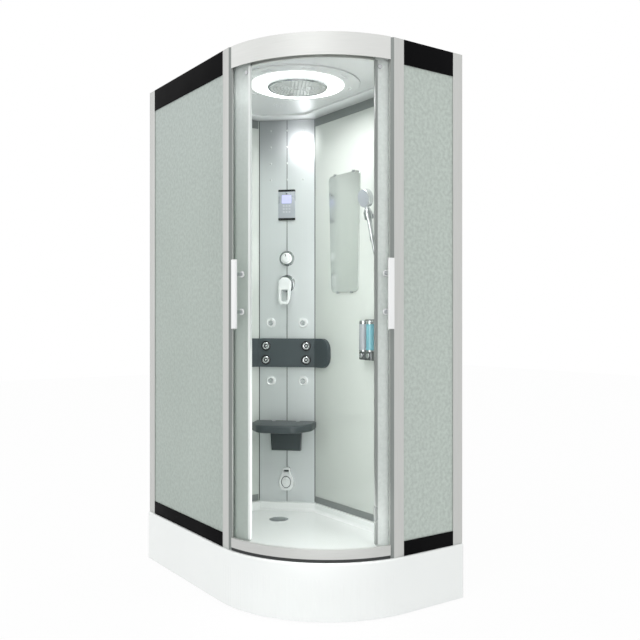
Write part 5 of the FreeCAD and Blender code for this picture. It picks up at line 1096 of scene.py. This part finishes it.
@dataclass
class WallMirror:
    """Mirror with a polished edge and four clips."""

    corners: tuple[tuple[float, float], ...] = ((-0.247, 1.203), (-0.042, 1.203), (-0.027, 1.750), (-0.269, 1.750))
    thickness: float = 0.006

    def build(self) -> None:
        """Build the polished rim and the clips."""
        softened("mirror", "mirror_pane", MIRROR, Body.CABIN, 0.0012, 50)
        clips = Workpiece("mirror_clips")
        for x, height in self.corners:
            along = -0.05 if x > -0.15 else 0.05
            up = -0.001 if height > 1.5 else 0.001
            clips.block(on_rear_wall(x + along, height - up, 0.0), (0.016, 0.010, self.thickness + 0.002), 0.0015)
        clips.deliver(CHROME, Body.CABIN)


@dataclass
class SoapDispenser:
    """Twin dispenser: back plate, pump block, a grey and a teal tube with chrome caps."""

    x: float = 0.057
    low: float = 0.895
    high: float = 1.076
    half: float = 0.047
    plate_depth: float = 0.010
    pump_depth: float = 0.044
    tube_low: float = 0.940
    tube_radius: float = 0.020
    tube_reach: float = 0.032
    spread: float = 0.024

    def build(self) -> None:
        """Build the dispenser's pieces."""
        body = Workpiece("dispenser_back")
        middle = (self.low + self.high) / 2
        body.plate(on_rear_wall(self.x, middle), rectangle(self.half, (self.high - self.low) / 2), self.plate_depth,
                   0.002, corner=0.006)
        block_low, block_high = self.low + 0.004, self.tube_low - 0.004
        body.plate(on_rear_wall(self.x, (block_low + block_high) / 2),
                   rectangle(self.half - 0.004, (block_high - block_low) / 2), self.pump_depth, 0.004, corner=0.006)
        caps = Workpiece("dispenser_caps")
        for side, finish, name in ((-1, TUBE_GREY, "grey_soap_tube"), (1, TUBE_TEAL, "teal_soap_tube")):
            foot = upright(self.x + side * self.spread, REAR_WALL_Y - self.tube_reach, self.tube_low - 0.004)
            tall = self.high - self.tube_low
            tube = Workpiece(name)
            radius = self.tube_radius
            tube.lathe(foot, ((0, 0.0), (radius - 0.001, 0.0), (radius - 0.0005, 0.002),
                              (radius - 0.0005, tall - 0.016),
                              (radius - 0.002, tall - 0.014), (0, tall - 0.014)), 40)
            tube.deliver(finish, Body.CABIN)
            caps.lathe(foot @ Matrix.Translation((0, 0, tall - 0.016)),
                       ((0, 0), (radius, 0), (radius, 0.009), (radius - 0.003, 0.0145), (radius - 0.008, 0.016),
                        (0, 0.016)), 40)
            caps.lathe(foot, ((0, -0.0005), (radius, -0.0005), (radius, 0.006), (radius - 0.001, 0.007),
                              (0, 0.007)), 40)
        caps.deliver(CHROME, Body.CABIN)
        body.deliver(DARK_CHROME, Body.CABIN, ("soap_dispenser",))


@dataclass
class HandShower:
    """Hand shower with a spray face, in a ball-shaped holder, and its coupling nuts."""

    x: float = 0.105
    reach: float = 0.062
    holder_height: float = 1.525
    lean: float = 12.3
    head_height: float = 1.600
    head_depth: float = 0.026
    head_radius: float = 0.040
    tip: float = 1.432

    def frame(self) -> Matrix:
        """Frame of the leaning handle; its origin is in the holder's cup."""
        return (Matrix.Translation((self.x, REAR_WALL_Y - self.reach, self.holder_height))
                @ Matrix.Rotation(math.radians(self.lean), 4, "X"))

    def build(self) -> list[bpy.types.Object]:
        """Build the spray face and the nut below the handle.

        Returns:
            The nut, which sits on the hose.
        """
        softened("hand_shower", "hand_shower_body", SATIN_CHROME, Body.HANDSET, 0.0012, 50)
        softened("shower_holder", "holder_arm", CHROME, Body.CABIN, 0.0015, 50)
        head = self.frame() @ Matrix.Translation((0, -self.head_depth / 2, self.head_height - self.holder_height))
        head = head @ Matrix.Rotation(math.radians(90), 4, "X")
        spray = Workpiece("hand_spray_face")
        spray.round(head, self.head_radius - 0.004, 0.0012, sides=40, bevel=0.0005)
        for radius, count in ((0.0, 1), (0.007, 6), (0.014, 12), (0.021, 18), (0.028, 24), (0.0325, 30)):
            for hole in around(head, radius, count, 0.0012):
                spray.dome(hole, 0.0009, 5, 8, 1.2)
        spray.deliver(PANEL_SILVER, Body.HANDSET)
        nut = Workpiece("hose_nut")
        foot = self.frame() @ Matrix.Translation((0, 0, self.tip - self.holder_height - 0.022))
        nut.lathe(foot, ((0.0072, 0.0), (0.0086, 0.0), (0.0104, 0.017), (0.0104, 0.0255), (0.0092, 0.027),
                         (0.0072, 0.027), (0.0072, 0.0)), 32)
        return [nut.deliver(CHROME, Body.HANDSET)]


@dataclass
class ShowerHose:
    """Flexible metal hose from the hand shower, round its hanging loop and up into the wall elbow."""

    route: tuple[tuple[float, float, float], ...] = (
        (0.105, 0.33488, 1.43384),
        (0.105, 0.3421, 1.4009),
        (0.114, 0.345, 1.358),
        (0.129, 0.3465, 1.302),
        (0.139, 0.344, 1.222),
        (0.143, 0.341, 1.110),
        (0.141, 0.339, 0.985),
        (0.137, 0.338, 0.865),
        (0.135, 0.337, 0.765),
        (0.137, 0.336, 0.690),
        (0.137, 0.3355, 0.6186),
        (0.1584, 0.335, 0.5814),
        (0.1956, 0.3345, 0.560),
        (0.2384, 0.3345, 0.560),
        (0.2756, 0.335, 0.5814),
        (0.297, 0.336, 0.6186),
        (0.2985, 0.337, 0.697),
        (0.3005, 0.337, 0.780),
        (0.301, 0.336, 0.870),
        (0.300, 0.335, 0.936),
        (0.300, 0.335, 0.976),
    )
    diameter: float = 0.014
    length: float = 1.40

    def build(self, fittings: list[bpy.types.Object]) -> None:
        """Args:
            fittings: separate pieces that sit on the hose; not used.
        """
        curve = bpy.data.curves.new("shower_hose_line", "CURVE")
        curve.dimensions = "3D"
        curve.bevel_depth = self.diameter / 2
        curve.bevel_resolution = 6
        curve.resolution_u = 16
        curve.use_fill_caps = True
        line = curve.splines.new("NURBS")
        line.points.add(len(self.route) - 1)
        for point, spot in zip(line.points, self.route):
            point.co = (*spot, 1.0)
        line.order_u = 3
        line.use_endpoint_u = True
        curve.materials.append(HOSE.material())
        hose = placed("flexible_hose", curve)
        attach(hose, Body.CABIN.value)
        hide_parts("shower_hose")
        elbow_nut = Workpiece("elbow_nut")
        elbow_nut.lathe(upright(*self.route[-1]) @ Matrix.Translation((0, 0, -0.022)),
                        ((0.0072, 0.0), (0.0088, 0.0), (0.0108, 0.016), (0.0108, 0.0245), (0.0098, 0.026),
                         (0.0072, 0.026), (0.0072, 0.0)), 32)
        piece = elbow_nut.deliver(CHROME, Body.CABIN)
        softened("hose_elbow", "wall_elbow", CHROME, Body.CABIN, 0.0015, 50)


# ---------------------------------------------------------------- roof

@dataclass
class RoofCove:
    """Moulded border of the ceiling along the walls and the column."""

    width: float = 0.085
    depth: float = 0.0085
    ceiling: float = 2.0578
    edge: float = 0.005
    left: float = -0.585
    rear: float = 0.375
    front_end: float = -0.36
    right_end: float = 0.56
    cut: float = 0.2

    def build(self) -> None:
        """Raise the border downwards from the ceiling."""
        width, diagonal = self.width, self.width * (math.sqrt(2.0) - 1.0)
        path = ((self.left, self.front_end), (self.left, self.rear - self.cut), (self.left + self.cut, self.rear),
                (self.right_end, self.rear), (self.right_end, self.rear - width),
                (self.left + self.cut + diagonal, self.rear - width),
                (self.left + width, self.rear - self.cut - diagonal), (self.left + width, self.front_end))
        cove = Workpiece("ceiling_cove")
        place = upright(0, 0, self.ceiling) @ Matrix.Rotation(math.pi, 4, "X")
        cove.plate(place, [(x, -y) for x, y in path], self.depth, self.edge)
        cove.deliver(ROOF_WHITE, Body.CABIN)


@dataclass
class RainRoof:
    """Rain head with rings of nozzles, and the glowing ring around it."""

    x: float = 0.025
    y: float = 0.002
    low: float = 2.040
    radius: float = 0.124
    rings: int = 8
    ring_pitch: float = 0.0145
    nozzle: float = 0.0022

    def build(self) -> None:
        """Build nozzle field and the ring that frames the light."""
        middle = upright(self.x, self.y, self.low)
        nozzles = Workpiece("rain_nozzles")
        nozzles.dome(middle, self.nozzle, 5, 8)
        for ring in range(1, self.rings):
            for place in around(middle, ring * self.ring_pitch, 6 * ring, phase=0.5 * (ring % 2)):
                nozzles.dome(place, self.nozzle, 5, 8)
        nozzles.deliver(NOZZLE_GREY, Body.CABIN)
        rim = Workpiece("rain_rim")
        radius = self.radius
        rim.lathe(middle, ((radius - 0.009, 0.0004), (radius - 0.0075, -0.002), (radius - 0.002, -0.0015),
                           (radius + 0.0008, 0.002), (radius + 0.0008, 0.007), (radius - 0.0035, 0.007),
                           (radius - 0.009, 0.0004)), 96)
        rim.deliver(CHROME, Body.CABIN)


# ---------------------------------------------------------------- studio

@dataclass
class Studio:
    """Pale floor, soft light and the photograph's camera."""

    place: tuple[float, float, float] = (2.8142, -1.8295, 1.0739)
    heading: float = 55.098
    lens: float = 45.0
    world_light: float = 0.87
    key_power: float = 46.0
    fill_power: float = 6.0
    roof_power: float = 4.2
    door_power: float = 4.2
    glare_power: float = 0.13
    floor_share: float = 0.94
    floor_half: float = 12.0
    floor_tone: float = 0.9

    def build(self) -> None:
        """Set up camera, floor, world and lamps."""
        scene = bpy.context.scene
        scene.view_settings.view_transform = "Standard"
        view = bpy.data.cameras.new("view")
        view.lens = self.lens
        view.sensor_width = 36.0
        view.clip_end = 100.0
        camera = placed("view", view)
        camera.location = self.place
        camera.rotation_euler = (math.radians(90), 0.0, math.radians(self.heading))
        scene.camera = camera
        self.make_floor()
        self.make_world()
        self.lamp("key", (2.4, -2.9, 5.2), (0.0, 0.0, 0.8), (2.6, 2.6), self.key_power)
        self.lamp("fill", (-2.4, -3.4, 2.2), (0.0, 0.0, 1.0), (3.0, 3.0), self.fill_power)
        self.lamp("roof_light", (0.02, 0.0, 2.0), (-0.02, -0.02, 0.0), (0.4, 0.4), self.roof_power)
        self.lamp("glare_light", (-0.331, 0.206, 1.945), (-0.445, 0.319, 1.945), (0.06, 0.09), self.glare_power, 80.0)
        self.lamp("door_light", (0.36, -0.12, 0.92), (-0.45, 0.2, 0.62), (0.3, 1.3), self.door_power)

    def lamp(self, name: str, spot: tuple[float, float, float], target: tuple[float, float, float],
             size: tuple[float, float], power: float, spread: float = 180.0) -> None:
        """Hang a soft rectangular lamp.

        Args:
            name: its name.
            spot: where it hangs.
            target: what it looks at.
            size: its width and height.
            power: its power in watts.
            spread: the angle in degrees over which it shines.
        """
        data = bpy.data.lights.new(name, "AREA")
        data.shape = "RECTANGLE"
        data.size, data.size_y = size
        data.energy = power
        data.spread = math.radians(spread)
        lamp = placed(name, data)
        lamp.location = spot
        lamp.rotation_euler = (Vector(target) - Vector(spot)).to_track_quat("-Z", "Y").to_euler()

    @staticmethod
    def seen_or_mirrored(tree: Tree) -> bpy.types.NodeSocket:
        """Value that is 1 for camera, glossy and transmission rays."""
        path = tree.nodes.new("ShaderNodeLightPath").outputs
        total = path["Is Camera Ray"]
        for name in ("Is Glossy Ray", "Is Transmission Ray"):
            total = add(tree, "Math", {0: total, 1: path[name]}, operation="MAXIMUM").outputs[0]
        return total

    def make_world(self) -> None:
        """White for what is seen, softer for what it lights."""
        world = bpy.data.worlds.new("studio")
        bpy.context.scene.world = world
        world.use_nodes = True
        tree = world.node_tree
        tree.nodes.clear()
        white = (1.0, 1.0, 1.0, 1.0)
        light = add(tree, "Background", {"Color": white, "Strength": self.world_light})
        seen = add(tree, "Background", {"Color": white, "Strength": 1.0})
        mix = add(tree, "MixShader", {0: self.seen_or_mirrored(tree), 1: light.outputs[0], 2: seen.outputs[0]})
        add(tree, "OutputWorld", {"Surface": mix.outputs[0]})

    def make_floor(self) -> None:
        """Plain pale floor that shows white and keeps a soft shadow."""
        piece = bmesh.new()
        bmesh.ops.create_grid(piece, x_segments=1, y_segments=1, size=self.floor_half)
        data = bpy.data.meshes.new("studio_floor")
        piece.to_mesh(data)
        piece.free()
        floor = placed("studio_floor", data)
        material = bpy.data.materials.new("studio_floor")
        material.use_nodes = True
        tree = material.node_tree
        tree.nodes.clear()
        plain = add(tree, "BsdfDiffuse", {"Color": (self.floor_tone,) * 3 + (1.0,)})
        glow = add(tree, "Emission", {"Strength": 1.0})
        share = add(tree, "Math", {0: self.seen_or_mirrored(tree), 1: self.floor_share}, operation="MULTIPLY")
        mix = add(tree, "MixShader", {0: share.outputs[0], 1: plain.outputs[0], 2: glow.outputs[0]})
        add(tree, "OutputMaterial", {"Surface": mix.outputs[0]})
        data.materials.append(material)


def main() -> None:
    """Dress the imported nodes, build the finer pieces and set the studio."""
    logging.basicConfig(level=logging.INFO, format="%(message)s")
    dress_nodes()
    hand_shower = HandShower()
    ShowerHose().build(hand_shower.build())
    for part in (Enclosure(), DoorHardware(), ColumnLines(), SprayNozzles(), ControlPanel(), Selector(), Mixer(),
                 BodyJets(), MassagePad(), FoldingSeat(), SteamOutlet(), WallMirror(), SoapDispenser(), RoofCove(),
                 RainRoof(), Studio()):
        part.build()


if __name__ == "__main__":
    main()
